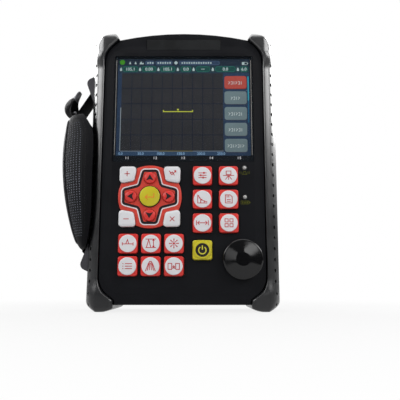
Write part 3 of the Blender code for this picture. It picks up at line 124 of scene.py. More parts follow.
class Sock:
    """One output socket, on which shader maths is written as Python expressions."""

    def __init__(self, paint: "Paint", socket: bpy.types.NodeSocket) -> None:
        """Keep the socket and the paint whose node tree holds it."""
        self.paint = paint
        self.socket = socket

    def _apply(self, operation: str, other: Value, swapped: bool = False) -> "Sock":
        """Add the node for one operation on this socket and another value.

        Args:
            operation: The name that Math, Vector Math and Mix share, such as MULTIPLY.
            other: The other socket, number or colour.
            swapped: True where the other value comes first.

        Returns:
            The result's socket.
        """
        pair = (other, self) if swapped else (self, other)
        kinds = {part.socket.type for part in pair if isinstance(part, Sock)}
        if "RGBA" in kinds:
            inputs = {"Factor_Float": 1.0, "A_Color": pair[0], "B_Color": pair[1]}
            settings = {"data_type": "RGBA", "blend_type": operation}
            return self.paint.node("ShaderNodeMix", settings, inputs, "Result_Color")
        if "VECTOR" in kinds:
            parts = [(part,) * 3 if isinstance(part, float) else part for part in pair]
            return self.paint.node("ShaderNodeVectorMath", {"operation": operation}, dict(enumerate(parts)))
        return self.paint.node("ShaderNodeMath", {"operation": operation}, dict(enumerate(pair)))

    def __add__(self, other: Value) -> "Sock":
        """Return self + other."""
        return self._apply("ADD", other)

    def __radd__(self, other: Value) -> "Sock":
        """Return other + self."""
        return self._apply("ADD", other, True)

    def __sub__(self, other: Value) -> "Sock":
        """Return self - other."""
        return self._apply("SUBTRACT", other)

    def __rsub__(self, other: Value) -> "Sock":
        """Return other - self."""
        return self._apply("SUBTRACT", other, True)

    def __mul__(self, other: Value) -> "Sock":
        """Return self * other."""
        return self._apply("MULTIPLY", other)

    def __rmul__(self, other: Value) -> "Sock":
        """Return other * self."""
        return self._apply("MULTIPLY", other, True)

    def __gt__(self, other: "Sock | float") -> "Sock":
        """Return 1 where self is greater than other, and 0 elsewhere."""
        return self._apply("GREATER_THAN", other)

    def part(self, axis: str) -> "Sock":
        """Return the X, Y or Z part of a vector."""
        return self.paint.node("ShaderNodeSeparateXYZ", {}, {0: self}, axis)

    def within(self, low: float, high: float, to_low: float = 0.0, to_high: float = 1.0) -> "Sock":
        """Return self carried smoothly from low..high to to_low..to_high.

        Args:
            low: The value that gives to_low, as anything below it does.
            high: The value that gives to_high, as anything above it does.
            to_low: The lowest result.
            to_high: The highest result.

        Returns:
            The carried value.
        """
        inputs = {"Value": self, "From Min": low, "From Max": high, "To Min": to_low, "To Max": to_high}
        return self.paint.node("ShaderNodeMapRange", {"interpolation_type": "SMOOTHSTEP"}, inputs)

    def sine(self) -> "Sock":
        """Return the sine of self."""
        return self.paint.node("ShaderNodeMath", {"operation": "SINE"}, {0: self})

    def blend(self, low: "Sock | Colour", high: "Sock | Colour") -> "Sock":
        """Return the colour low where self is 0 and high where it is 1."""
        inputs = {"Factor_Float": self, "A_Color": low, "B_Color": high}
        return self.paint.node("ShaderNodeMix", {"data_type": "RGBA"}, inputs, "Result_Color")

    def tint(self, colour: Colour) -> "Sock":
        """Return a colour darkened by self, and whole where self is 1 or more."""
        return self.blend((0.0, 0.0, 0.0), colour)


class Paint:
    """The node tree of a material or of the world, in the making."""

    def __init__(self, owner: bpy.types.Material | bpy.types.World) -> None:
        """Open the tree.

        Args:
            owner: The new material or world that the tree belongs to.
        """
        owner.use_nodes = True
        self.owner = owner
        self.tree = owner.node_tree
        self.shader = self.tree.nodes.get("Principled BSDF")

    def node(self, kind: str, settings: Settings | None = None, inputs: Settings | None = None,
             output: str | int = 0) -> Sock:
        """Add one node: its settings first, then the values and links of its sockets.

        Args:
            kind: The node's type.
            settings: Its attributes by name, such as a Math node's operation.
            inputs: Values or sockets by the input's name, identifier or number.
            output: The name, identifier or number of the output that is used.

        Returns:
            That output, ready for shader maths.
        """
        made = self.tree.nodes.new(kind)
        for name, value in (settings or {}).items():
            setattr(made, name, value)
        for name, value in (inputs or {}).items():
            self.feed(self._find(made.inputs, name), value)
        return Sock(self, self._find(made.outputs, output))

    @staticmethod
    def _find(sockets: bpy.types.bpy_prop_collection, name: str | int) -> bpy.types.NodeSocket:
        """Return a node's socket by its number, identifier or name.

        Args:
            sockets: The node's inputs or outputs.
            name: The socket's number, identifier or name.

        Returns:
            The socket.
        """
        if isinstance(name, int):
            return sockets[name]
        return next(socket for socket in sockets if name in (socket.identifier, socket.name))

    def feed(self, socket: bpy.types.NodeSocket, value: object) -> None:
        """Link a socket, or set its own value where the value is a constant.

        Args:
            socket: The input.
            value: The other socket, or the constant.
        """
        if isinstance(value, Sock):
            self.tree.links.new(value.socket, socket)
        elif socket.type == "RGBA":
            socket.default_value = (*value, 1.0)
        else:
            socket.default_value = value

    def set(self, **values: object) -> None:
        """Set or link inputs of the Principled shader, whose names are given with _ for each space."""
        for name, value in values.items():
            self.feed(self._find(self.shader.inputs, name.replace("_", " ")), value)

    def place(self) -> Sock:
        """Return the place on the object, in metres."""
        return self.node("ShaderNodeTexCoord", {}, {}, "Object")

    def away(self) -> Sock:
        """Return the distance from the object's origin, in metres."""
        return self.node("ShaderNodeVectorMath", {"operation": "LENGTH"}, {0: self.place()}, "Value")

    def noise(self, size: float, detail: float = 3.0, stretch: Colour = (1.0, 1.0, 1.0)) -> Sock:
        """Return noise from 0 to 1 whose blotches are about size across, drawn out by stretch."""
        across = self.place() * tuple(1.0 / (size * part) for part in stretch)
        return self.node("ShaderNodeTexNoise", {}, {"Vector": across, "Scale": 1.0, "Detail": detail})

    def cells(self, size: float) -> Sock:
        """Return the distance to the nearest of scattered points about size apart, from 0 to 1."""
        inputs = {"Vector": self.place(), "Scale": 1.0 / size}
        return self.node("ShaderNodeTexVoronoi", {}, inputs, "Distance")

    def relief(self, height: Sock, depth: float, strength: float = 1.0) -> None:
        """Bump the surface by a height from 0 to 1 that stands for a depth in metres."""
        inputs = {"Strength": strength, "Distance": depth, "Height": height}
        self.set(Normal=self.node("ShaderNodeBump", {}, inputs, "Normal"))


# Finishes


@dataclass(frozen=True)
class Finish:
    """A plain moulded or painted surface with a fine grain and slight blotches."""

    name: str
    colour: Colour
    roughness: float = 0.45
    metallic: float = 0.0
    specular: float = 0.5
    coat: float = 0.0
    grain: float = 0.35 * MM
    depth: float = 0.02 * MM
    blotch: float = 0.12

    def dress(self, paint: Paint) -> None:
        """Lay the pattern of this finish on a started material.

        Args:
            paint: The started material.
        """
        cloud = paint.noise(14 * MM)
        shade = cloud.within(0.3, 0.7, 1 - self.blotch, 1 + self.blotch)
        paint.set(Base_Color=shade.tint(self.colour))
        paint.set(Roughness=cloud.within(0.3, 0.7, self.roughness - 0.04, self.roughness + 0.04))
        paint.relief(paint.noise(self.grain), self.depth)

    def make(self) -> bpy.types.Material:
        """Return this finish's material, made once.

        Returns:
            The material.
        """
        known = bpy.data.materials.get(self.name)
        if known:
            return known
        paint = Paint(bpy.data.materials.new(self.name))
        paint.set(Metallic=self.metallic, Specular_IOR_Level=self.specular, Coat_Weight=self.coat)
        paint.set(Coat_Roughness=self.roughness * 0.6)
        self.dress(paint)
        return paint.owner


@dataclass(frozen=True)
class PaintedSheenFinish(Finish):
    """Moulded rubber with a painted sheen: a coat that grows towards the top, standing in for the light that
    falls from above.
    """

    dull_z: float = 0.060
    gloss_z: float = 0.165

    def dress(self, paint: Paint) -> None:
        """Lay the grain, and a painted sheen that grows towards the top.

        Args:
            paint: The started material.
        """
        super().dress(paint)
        # painted sheen: the coat grows with height, in place of the light from above that brightens the upper
        # bumper
        painted_sheen = paint.place().part("Z").within(self.dull_z, self.gloss_z, 0.05, 1.0)
        paint.set(Coat_Weight=painted_sheen * paint.noise(20 * MM).within(0.3, 0.7, 0.92, 1.0), Coat_Roughness=0.24)


@dataclass(frozen=True)
class Leather(Finish):
    """Grained leather: small cells with soft creases."""

    def dress(self, paint: Paint) -> None:
        """Lay pebbled cells and slow shade changes.

        Args:
            paint: The started material.
        """
        cloud = paint.noise(9 * MM)
        cells = paint.cells(self.grain)
        shade = cloud.within(0.3, 0.7, 1 - self.blotch, 1 + self.blotch) * cells.within(0.0, 0.7, 0.75, 1.1)
        paint.set(Base_Color=shade.tint(self.colour))
        paint.set(Roughness=cells.within(0.0, 0.8, self.roughness + 0.1, self.roughness - 0.05))
        paint.relief(1.0 - cells, self.depth, 0.6)


@dataclass(frozen=True)
class Weave(Finish):
    """Woven cloth: ribs that run two ways, with the bright dots where they cross."""

    dots: Colour = (0.09, 0.10, 0.12)
    rib: float = 1.5 * MM

    def dress(self, paint: Paint) -> None:
        """Lay crossing ribs by height and depth, with dots on their crossings.

        Args:
            paint: The started material.
        """
        turn = 2 * math.pi / self.rib
        place = paint.place()
        warp = (place.part("Z") * turn).sine()
        weft = ((place.part("Y") + place.part("X") * 0.6) * turn).sine()
        cross = warp.within(0.0, 0.8) * weft.within(0.0, 0.8)
        rough = paint.noise(self.rib * 3)
        paint.set(Base_Color=(cross * rough.within(0.3, 0.6, 0.5, 1.0)).blend(self.colour, self.dots))
        paint.set(Roughness=self.roughness)
        paint.relief(cross * 0.8 + rough * 0.2, self.depth)


@dataclass(frozen=True)
class Turned(Finish):
    """Turned or plated metal with fine tool marks along one axis."""

    def dress(self, paint: Paint) -> None:
        """Lay fine drawn-out marks and a little tarnish.

        Args:
            paint: The started material.
        """
        marks = paint.noise(self.grain, 4.0, (12.0, 12.0, 1.0))
        tarnish = paint.noise(6 * MM)
        paint.set(Base_Color=tarnish.within(0.35, 0.75, 1.0, 0.8).tint(self.colour))
        paint.set(Roughness=marks.within(0.3, 0.7, self.roughness - 0.08, self.roughness + 0.12))
        paint.relief(marks, self.depth)


@dataclass(frozen=True)
class Glow(Finish):
    """A lit area of the display, a little uneven from top to bottom."""

    fade: float = 0.15
    low_z: float = 0.130
    high_z: float = 0.218

    def dress(self, paint: Paint) -> None:
        """Lay the lit colour, stronger at the top of the display, over a base of half that colour.

        Args:
            paint: The started material.
        """
        lift = paint.place().part("Z").within(self.low_z, self.high_z, 1 - self.fade, 1 + self.fade)
        haze = paint.noise(30 * MM).within(0.3, 0.7, 0.95, 1.05)
        lit = (lift * haze).tint(self.colour)
        paint.set(Base_Color=lit * (0.5, 0.5, 0.5), Roughness=self.roughness)
        paint.set(Emission_Color=lit, Emission_Strength=0.62)


@dataclass(frozen=True)
class Glass(Finish):
    """Clear window acrylic with an anti-glare face and faint wipe marks."""

    def dress(self, paint: Paint) -> None:
        """Lay a see-through face with a thin smoky tint that changes where it was wiped.

        Args:
            paint: The started material.
        """
        wipe = paint.noise(10 * MM, 2.0, (3.0, 1.0, 1.0))
        paint.set(Base_Color=self.colour, Roughness=self.roughness)
        paint.set(Alpha=wipe.within(0.3, 0.8, 0.10, 0.15))


@dataclass(frozen=True)
class Circuit(Finish):
    """A circuit board: solder mask over tracks that run two ways."""

    track: float = 2.4 * MM

    def dress(self, paint: Paint) -> None:
        """Lay tracks as lighter bars in the mask.

        Args:
            paint: The started material.
        """
        place = paint.place()
        turn = 2 * math.pi / self.track
        bend = paint.noise(20 * MM) * 9.0
        upright = (place.part("X") * turn + bend).sine() > 0.82
        level = (place.part("Z") * turn + bend).sine() > 0.86
        tracks = (upright + level).within(0.0, 1.0)
        paint.set(Base_Color=tracks.blend(self.colour, tuple(part * 2.2 + 0.01 for part in self.colour)))
        paint.set(Roughness=self.roughness)
        paint.relief(tracks, 0.03 * MM)


CASE = Finish("case_plastic", srgb(11, 12, 16), 0.46, specular=0.11, grain=0.5 * MM, depth=0.030 * MM)
# the bumpers' rubber carries a painted sheen: its coat grows towards the top
RUBBER = PaintedSheenFinish("bumper_rubber", srgb(12, 13, 16), 0.32, specular=0.50, grain=0.6 * MM, depth=0.006 * MM)
LUG = Finish("lug_plastic", srgb(50, 49, 55), 0.36, specular=0.6)
# painted shade: the dimples' hollows take a darker, duller rubber than the bumper, standing in for the shade
# inside them
DIMPLE_SHADE = Finish("dimple_rubber", srgb(10, 10, 11), 0.60, specular=0.15)
SEAL = Finish("seal_rubber", srgb(18, 18, 18), 0.70, specular=0.3)
BLACK = Finish("black_plastic", srgb(24, 24, 26), 0.48, specular=0.35)
PLATE = Finish("name_plate_film", srgb(13, 15, 17), 0.40, specular=0.25, blotch=0.3, depth=0.006 * MM)
RED = Finish("red_key_plastic", srgb(204, 44, 38), 0.36, specular=0.45, depth=0.006 * MM, blotch=0.06)
RED_PLATE = Finish("red_plate_plastic", srgb(196, 58, 44), 0.42, specular=0.4, depth=0.008 * MM, blotch=0.08)
WHITE = Finish("white_key_plastic", srgb(211, 211, 214), 0.34, specular=0.45, depth=0.004 * MM, blotch=0.03)
YELLOW = Finish("yellow_key_plastic", srgb(190, 178, 28), 0.34, specular=0.45, depth=0.006 * MM, blotch=0.05)
RED_INK = Finish("red_ink", srgb(180, 40, 45), 0.60, specular=0.2, depth=0.004 * MM)
BLACK_INK = Finish("black_ink", srgb(26, 21, 24), 0.60, specular=0.2, depth=0.004 * MM)
WHITE_INK = Finish("white_ink", srgb(205, 205, 208), 0.55, specular=0.2, depth=0.004 * MM)
OLIVE_INK = Finish("olive_ink", srgb(72, 74, 10), 0.65, specular=0.15, depth=0.004 * MM)
YELLOW_INK = Finish("yellow_ink", srgb(196, 188, 44), 0.55, depth=0.004 * MM)
ORANGE_INK = Finish("orange_ink", srgb(214, 120, 30), 0.55)
GLOSS = Finish("knob_gloss", srgb(10, 10, 12), 0.06, specular=0.32, depth=0.001 * MM, blotch=0.1)
LENS = Finish("lamp_lens", srgb(160, 160, 158), 0.22, specular=0.5, coat=0.3, blotch=0.2, depth=0.004 * MM)
RIVET = Turned("strap_rivet_metal", (0.16, 0.16, 0.17), 0.38, 1.0, depth=0.004 * MM)
STEEL = Turned("plated_steel", (0.58, 0.58, 0.60), 0.28, 1.0, depth=0.004 * MM)
BRASS = Turned("contact_brass", (0.72, 0.55, 0.25), 0.26, 1.0, depth=0.004 * MM)
BEZEL = Turned("bezel_edge_metal", (0.52, 0.50, 0.47), 0.35, 1.0, depth=0.010 * MM)
BOARD = Circuit("circuit_board", (0.02, 0.15, 0.05), 0.45)
SLEEVE = Finish("battery_sleeve", srgb(40, 84, 150), 0.40)
LEATHER = Leather("strap_leather", srgb(9, 9, 12), 0.60, specular=0.07, grain=1.1 * MM, depth=0.10 * MM)
# painted highlight: the tail's tip takes a much lighter leather, standing in for the light that it reflects
TAIL_TIP_HIGHLIGHT = Leather("tail_tip_leather", srgb(88, 89, 94), 0.50, specular=0.4, grain=1.1 * MM,
                      depth=0.08 * MM)
PIPING = Leather("strap_piping", srgb(40, 41, 46), 0.36, specular=0.5, grain=0.8 * MM, depth=0.05 * MM)
THREAD = Leather("strap_thread", srgb(17, 17, 19), 0.60, specular=0.15, grain=0.4 * MM, depth=0.03 * MM)
WEBBING = Weave("strap_webbing", srgb(11, 11, 13), 0.75, specular=0.1, depth=0.15 * MM, dots=srgb(24, 25, 28))
MESH_CLOTH = Weave("strap_mesh_cloth", srgb(11, 12, 15), 0.65, specular=0.12, depth=0.25 * MM,
                   dots=srgb(22, 23, 27), rib=1.1 * MM)
DOTS = Finish("strap_weave_thread", srgb(92, 95, 105), 0.55, specular=0.2, blotch=0.35)
WINDOW = Glass("window_acrylic", (0.02, 0.03, 0.04), 0.12, specular=0.10)


# Outlines


def path(*values: float) -> list[Point]:
    """Return the points whose x and z follow each other in values."""
    return list(zip(values[::2], values[1::2]))


def arc(centre: Sequence[float], radius: float, start: float, end: float, steps: int) -> list[Point]:
    """Return points on an arc between two angles in degrees.

    Args:
        centre: The arc's centre.
        radius: Its radius.
        start: The first angle.
        end: The last angle.
        steps: The number of steps between them.

    Returns:
        The points, one more than the steps.
    """
    points = []
    for i in range(steps + 1):
        angle = math.radians(start + (end - start) * i / steps)
        points.append((centre[0] + radius * math.cos(angle), centre[1] + radius * math.sin(angle)))
    return points


def circle(radius: float, steps: int = 48, centre: Point = (0.0, 0.0)) -> list[Point]:
    """Return a circle whose points stand opposite those of a rounded rectangle."""
    turn = 360.0 / steps
    return arc(centre, radius, turn / 2, 360.0 - turn / 2, steps - 1)


def rounded(half_x: float, half_z: float, radius: float, centre: Point = (0.0, 0.0),
            steps: int = 11) -> list[Point]:
    """Return a rectangle with round corners, counter-clockwise from its right side.

    Args:
        half_x: Half its width.
        half_z: Half its height.
        radius: The corners' radius.
        centre: Its middle.
        steps: The steps of each corner's arc.

    Returns:
        The outline's points.
    """
    points = []
    for sign_x, sign_z, start in ((1, 1, 0), (-1, 1, 90), (-1, -1, 180), (1, -1, 270)):
        middle = (centre[0] + sign_x * (half_x - radius), centre[1] + sign_z * (half_z - radius))
        points += arc(middle, radius, start, start + 90, steps)
    return points


def rounded_polygon(corners: Sequence[Point], radius: float, steps: int, grow: float = 0.0) -> list[Point]:
    """Return a polygon with its edges moved out and its corners rounded.

    Args:
        corners: The corners, counter-clockwise.
        radius: The corners' radius before the edges move.
        steps: The steps of each corner's arc.
        grow: How far the edges move out.

    Returns:
        The outline's points.
    """
    points = []
    for i, corner in enumerate(corners):
        before = (Vector(corner) - Vector(corners[i - 1])).normalized()
        after = (Vector(corners[(i + 1) % len(corners)]) - Vector(corner)).normalized()
        bend = math.atan2(before.x * after.y - before.y * after.x, before.dot(after))
        way = 1 if bend > 0 else -1
        outward = Vector((before.y + after.y, -before.x - after.x)) / (1 + before.dot(after))
        round_off = radius + way * grow
        centre = Vector(corner) + outward * (grow - way * round_off)
        start = math.degrees(math.atan2(-before.x, before.y)) + (0 if way > 0 else 180)
        points += arc(centre, round_off, start, start + math.degrees(bend), steps)
    return points


def divided(points: Sequence[Point], longest: float, closed: bool = True) -> list[Vector]:
    """Return a line's points with its straight runs split into parts no longer than longest.

    Args:
        points: The line's corners.
        longest: The longest run that isn't split.
        closed: True if its end joins its start.

    Returns:
        The corners and the points between them.
    """
    corners = [Vector(point) for point in points]
    spots = []
    for start, end in zip(corners, corners[1:] + (corners[:1] if closed else [])):
        parts = max(1, math.ceil((end - start).length / longest))
        spots += [start.lerp(end, i / parts) for i in range(parts)]
    return spots if closed else spots + corners[-1:]


def turned_by(outline: Iterable[Point], degrees: float, centre: Point = (0.0, 0.0)) -> list[Point]:
    """Return an outline turned about the origin and moved to centre."""
    rotation = Matrix.Rotation(math.radians(degrees), 2)
    return [tuple(Vector(centre) + rotation @ Vector(point)) for point in outline]


# Meshes


class Form:
    """A mesh in the making, in the device's own frame or about a piece's own middle."""

    def __init__(self) -> None:
        """Start an empty mesh, whose faces take the first finish."""
        self.bm = bmesh.new()
        self.finish = 0

    def loft(self, rings: Sequence[Sequence[Sequence[float]]], closed: bool = False) -> None:
        """Skin equal rings one after the other, and cap both ends unless the row closes on itself.

        Args:
            rings: The rings, each a list of as many points.
            closed: True if the last ring joins the first.
        """
        loops = [[self.bm.verts.new(point) for point in ring] for ring in rings]
        pairs = list(zip(loops, loops[1:]))
        if closed:
            pairs.append((loops[-1], loops[0]))
        faces = []
        for lower, upper in pairs:
            for i, vertex in enumerate(lower):
                j = (i + 1) % len(lower)
                faces.append(self.bm.faces.new((vertex, lower[j], upper[j], upper[i])))
        if not closed:
            faces += [self.bm.faces.new(loops[0][::-1]), self.bm.faces.new(loops[-1])]
        for face in faces:
            face.material_index = self.finish

    def prism(self, outline: Sequence[Point], y0: float, y1: float) -> None:
        """Extrude an outline in x and z between two depths."""
        self.loft([[(x, y, z) for x, z in outline] for y in (y0, y1)])

    def frame(self, outer: Sequence[Point], inner: Sequence[Point], y0: float, y1: float) -> None:
        """Extrude the frame between two outlines with as many points."""
        pairs = ((outer, y0), (outer, y1), (inner, y1), (inner, y0))
        self.loft([[(x, y, z) for x, z in outline] for outline, y in pairs], True)

    def turn(self, profile: Sequence[Point], steps: int = 64, centre: Point = (0.0, 0.0),
             closed: bool = False) -> None:
        """Turn a profile of (radius, y) about the depth axis through centre."""
        self.loft([[(x, y, z) for x, z in circle(radius, steps, centre)] for radius, y in profile], closed)

    def turn_up(self, profile: Sequence[Point], steps: int = 64, centre: Point = (0.0, 0.0)) -> None:
        """Turn a profile of (radius, z) about the upright axis through centre."""
        self.loft([[(x, y, z) for x, y in circle(radius, steps, centre)] for radius, z in profile])

    def tube(self, route: Sequence[Vector], radius: float, sides: int = 10) -> None:
        """Carry a round section along a route, with its ends closed.

        Args:
            route: The route's points.
            radius: The section's radius.
            sides: The section's number of sides.
        """
        rings = []
        last = len(route) - 1
        for i, spot in enumerate(route):
            ahead = (route[min(i + 1, last)] - route[max(i - 1, 0)]).normalized()
            side = ahead.cross(Vector((0.0, 1.0, 0.0))).normalized()
            up = side.cross(ahead)
            small = radius * (0.6 if i in (0, last) else 1.0)
            rings.append([spot + side * x + up * y for x, y in circle(small, sides)])
        self.loft(rings)

    def cone(self, spot: Vector, along: Vector, profile: Sequence[Point], sides: int = 14) -> None:
        """Turn a profile about an axis of any direction.

        Args:
            spot: A point on the axis.
            along: The axis's direction.
            profile: The profile's (radius, distance) pairs.
            sides: The number of sides round the axis.
        """
        turn = Vector((0.0, 0.0, 1.0)).rotation_difference(along).to_matrix()
        self.loft([[spot + turn @ Vector((x, y, far)) for x, y in circle(radius, sides)]
                   for radius, far in profile])

    def move(self, offset: Vector) -> None:
        """Move all that is built so far."""
        bmesh.ops.translate(self.bm, verts=self.bm.verts, vec=offset)

    def mesh(self, name: str, origin: Vector) -> bpy.types.Mesh:
        """Return the finished mesh, moved to its place in the row's frame.

        Args:
            name: The mesh's name.
            origin: The place of the form's own origin.

        Returns:
            The mesh.
        """
        bmesh.ops.recalc_face_normals(self.bm, faces=self.bm.faces)
        self.move(origin)
        mesh = bpy.data.meshes.new(name)
        self.bm.to_mesh(mesh)
        self.bm.free()
        return mesh


@dataclass
class Bench:
    """Turns forms into pieces that ride on a body, in the row's frame."""

    origin: Vector = field(default_factory=Vector)

    @classmethod
    def at_case(cls) -> "Bench":
        """Return the bench whose origin is the device's own, read from the front case."""
        low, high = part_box("front_case")
        return cls(Vector(((low.x + high.x) / 2, low.y - FACE_Y, 0.0)))

    def middle_of(self, node: str) -> Vector:
        """Return the middle of a node's box in the device's frame."""
        low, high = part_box(node)
        return (low + high) / 2 - self.origin

    def piece(self, name: str, form: Form, finishes: Sequence[Finish], body: str, slot: str,
              replaces: Sequence[str] = (), sharp: float = 35.0) -> bpy.types.Object:
        """Make one piece of a form.

        Args:
            name: The piece's name.
            form: The form, which is used up.
            finishes: Its finishes, in the order of the form's indices.
            body: The body that it rides on.
            slot: The record's material slot that it belongs to; not used.
            replaces: The nodes that it stands for.
            sharp: Edges that bend more than this, in degrees, stay sharp.

        Returns:
            The new object.
        """
        obj = bpy.data.objects.new(name, form.mesh(name, self.origin))
        bpy.context.scene.collection.objects.link(obj)
        for finish in finishes:
            obj.data.materials.append(finish.make())
        obj.data.shade_smooth()
        obj.data.set_sharp_from_angle(angle=math.radians(sharp))
        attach(obj, body)
        if replaces:
            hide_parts(*replaces)
        return obj

    def carve(self, obj: bpy.types.Object, cutter: Form, operation: str = "DIFFERENCE") -> None:
        """Cut a form out of a piece, or join it to the piece, for good.

        Args:
            obj: The piece.
            cutter: The form, which is used up.
            operation: The Boolean modifier's operation.
        """
        tool = bpy.data.objects.new("cutter", cutter.mesh("cutter", self.origin))
        bpy.context.scene.collection.objects.link(tool)
        tool.parent = obj.parent
        modifier = obj.modifiers.new("carve", "BOOLEAN")
        modifier.operation = operation
        modifier.object = tool
        modifier.solver = "EXACT"
        bpy.context.view_layer.update()
        before = obj.data
        obj.data = bpy.data.meshes.new_from_object(obj.evaluated_get(bpy.context.evaluated_depsgraph_get()))
        obj.modifiers.clear()
        bpy.data.objects.remove(tool, do_unlink=True)
        bpy.data.meshes.remove(before)
        obj.data.set_sharp_from_angle(angle=math.radians(35.0))

    @staticmethod
    def soften(obj: bpy.types.Object, width: float, segments: int = 2) -> None:
        """Round a piece's sharp edges and even out its shading.

        Args:
            obj: The piece.
            width: The bevel's width.
            segments: Its number of segments.
        """
        bevel = obj.modifiers.new("soften", "BEVEL")
        bevel.width = width
        bevel.segments = segments
        bevel.limit_method = "ANGLE"
        bevel.angle_limit = math.radians(35.0)
        bevel.harden_normals = True

    @staticmethod
    def dress_node(name: str, finish: Finish) -> None:
        """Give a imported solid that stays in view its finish."""
        for slot in frame["nodes"][name].material_slots:
            slot.material = finish.make()


class Ink(Form):
    """Printed shapes: thin closed prisms that follow a surface."""

    def __init__(self, surface: Surface, proud: float = 0.04 * MM, sunk: float = 0.04 * MM) -> None:
        """Start a print.

        Args:
            surface: Gives the depth of the printed surface at (x, z).
            proud: How far the print stands in front of it.
            sunk: How far its back lies behind it.
        """
        super().__init__()
        self.surface = surface
        self.proud = proud
        self.sunk = sunk

    def _spot(self, x: float, z: float, front: bool) -> tuple[float, float, float]:
        """Return a point of the print's front or back."""
        return x, self.surface(x, z) + (-self.proud if front else self.sunk), z

    def area(self, outline: Sequence[Point], rings: int = 0) -> None:
        """Print a filled outline, in rings round the key's middle where its face is a dome.

        Args:
            outline: The outline.
            rings: How many rings lie between the outline and the middle.
        """
        sections = [[self._spot(x, z, front) for x, z in outline] for front in (False, True)]
        for i in range(rings):
            share = 1 - (i + 0.9) / rings
            sections.append([self._spot(x * share, z * share, True) for x, z in outline])
        self.loft(sections)

    def disc(self, centre: Point, radius: float) -> None:
        """Print a filled disc."""
        self.area(circle(radius, 20, centre))

    def stroke(self, points: Sequence[Point], width: float, closed: bool = False,
               longest: float = 1.2 * MM) -> None:
        """Print a line of one width through points.

        Args:
            points: The line's corners.
            width: Its width.
            closed: True if its end joins its start.
            longest: Straight runs are split into parts no longer than this, to follow a dome.
        """
        spots = divided(points, longest, closed)
        rings = []
        for i, spot in enumerate(spots):
            before = spots[i - 1] if closed or i else spot
            after = spots[(i + 1) % len(spots)] if closed or i < len(spots) - 1 else spot
            into = (spot - before).normalized()
            out = (after - spot).normalized()
            along = (into + out).normalized()
            reach = width / 2 / max(along.dot(out if out.length else into), 0.4)
            across = Vector((-along.y, along.x)) * reach
            left, right = spot + across, spot - across
            rings.append([self._spot(*left, True), self._spot(*right, True), self._spot(*right, False),
                          self._spot(*left, False)])
        self.loft(rings, closed)

    def figures(self, text: str, centre: Point, height: float) -> None:
        """Print plain figures centred on a point.

        Args:
            text: The figures.
            centre: The place of their middle.
            height: Their height.
        """
        curve = bpy.data.curves.new("figures", "FONT")
        curve.body = text
        curve.extrude = 0.05
        curve.offset = 0.02
        curve.resolution_u = 3
        obj = bpy.data.objects.new("figures", curve)
        bpy.context.scene.collection.objects.link(obj)
        bpy.context.view_layer.update()
        mesh = bpy.data.meshes.new_from_object(obj.evaluated_get(bpy.context.evaluated_depsgraph_get()))
        bpy.data.objects.remove(obj, do_unlink=True)
        part = bmesh.new()
        part.from_mesh(mesh)
        bmesh.ops.remove_doubles(part, verts=part.verts, dist=0.0001)
        low = Vector([min(vertex.co[i] for vertex in part.verts) for i in range(3)])
        high = Vector([max(vertex.co[i] for vertex in part.verts) for i in range(3)])
        size = height / (high.y - low.y)
        middle = (low + high) / 2
        for vertex in part.verts:
            x = centre[0] + (vertex.co.x - middle.x) * size
            z = centre[1] + (vertex.co.y - middle.y) * size
            vertex.co = self._spot(x, z, vertex.co.z > 0)
        part.to_mesh(mesh)
        part.free()
        self.bm.from_mesh(mesh)
        bpy.data.meshes.remove(mesh)


# Key legends: plain signs drawn in millimetres about the key's middle


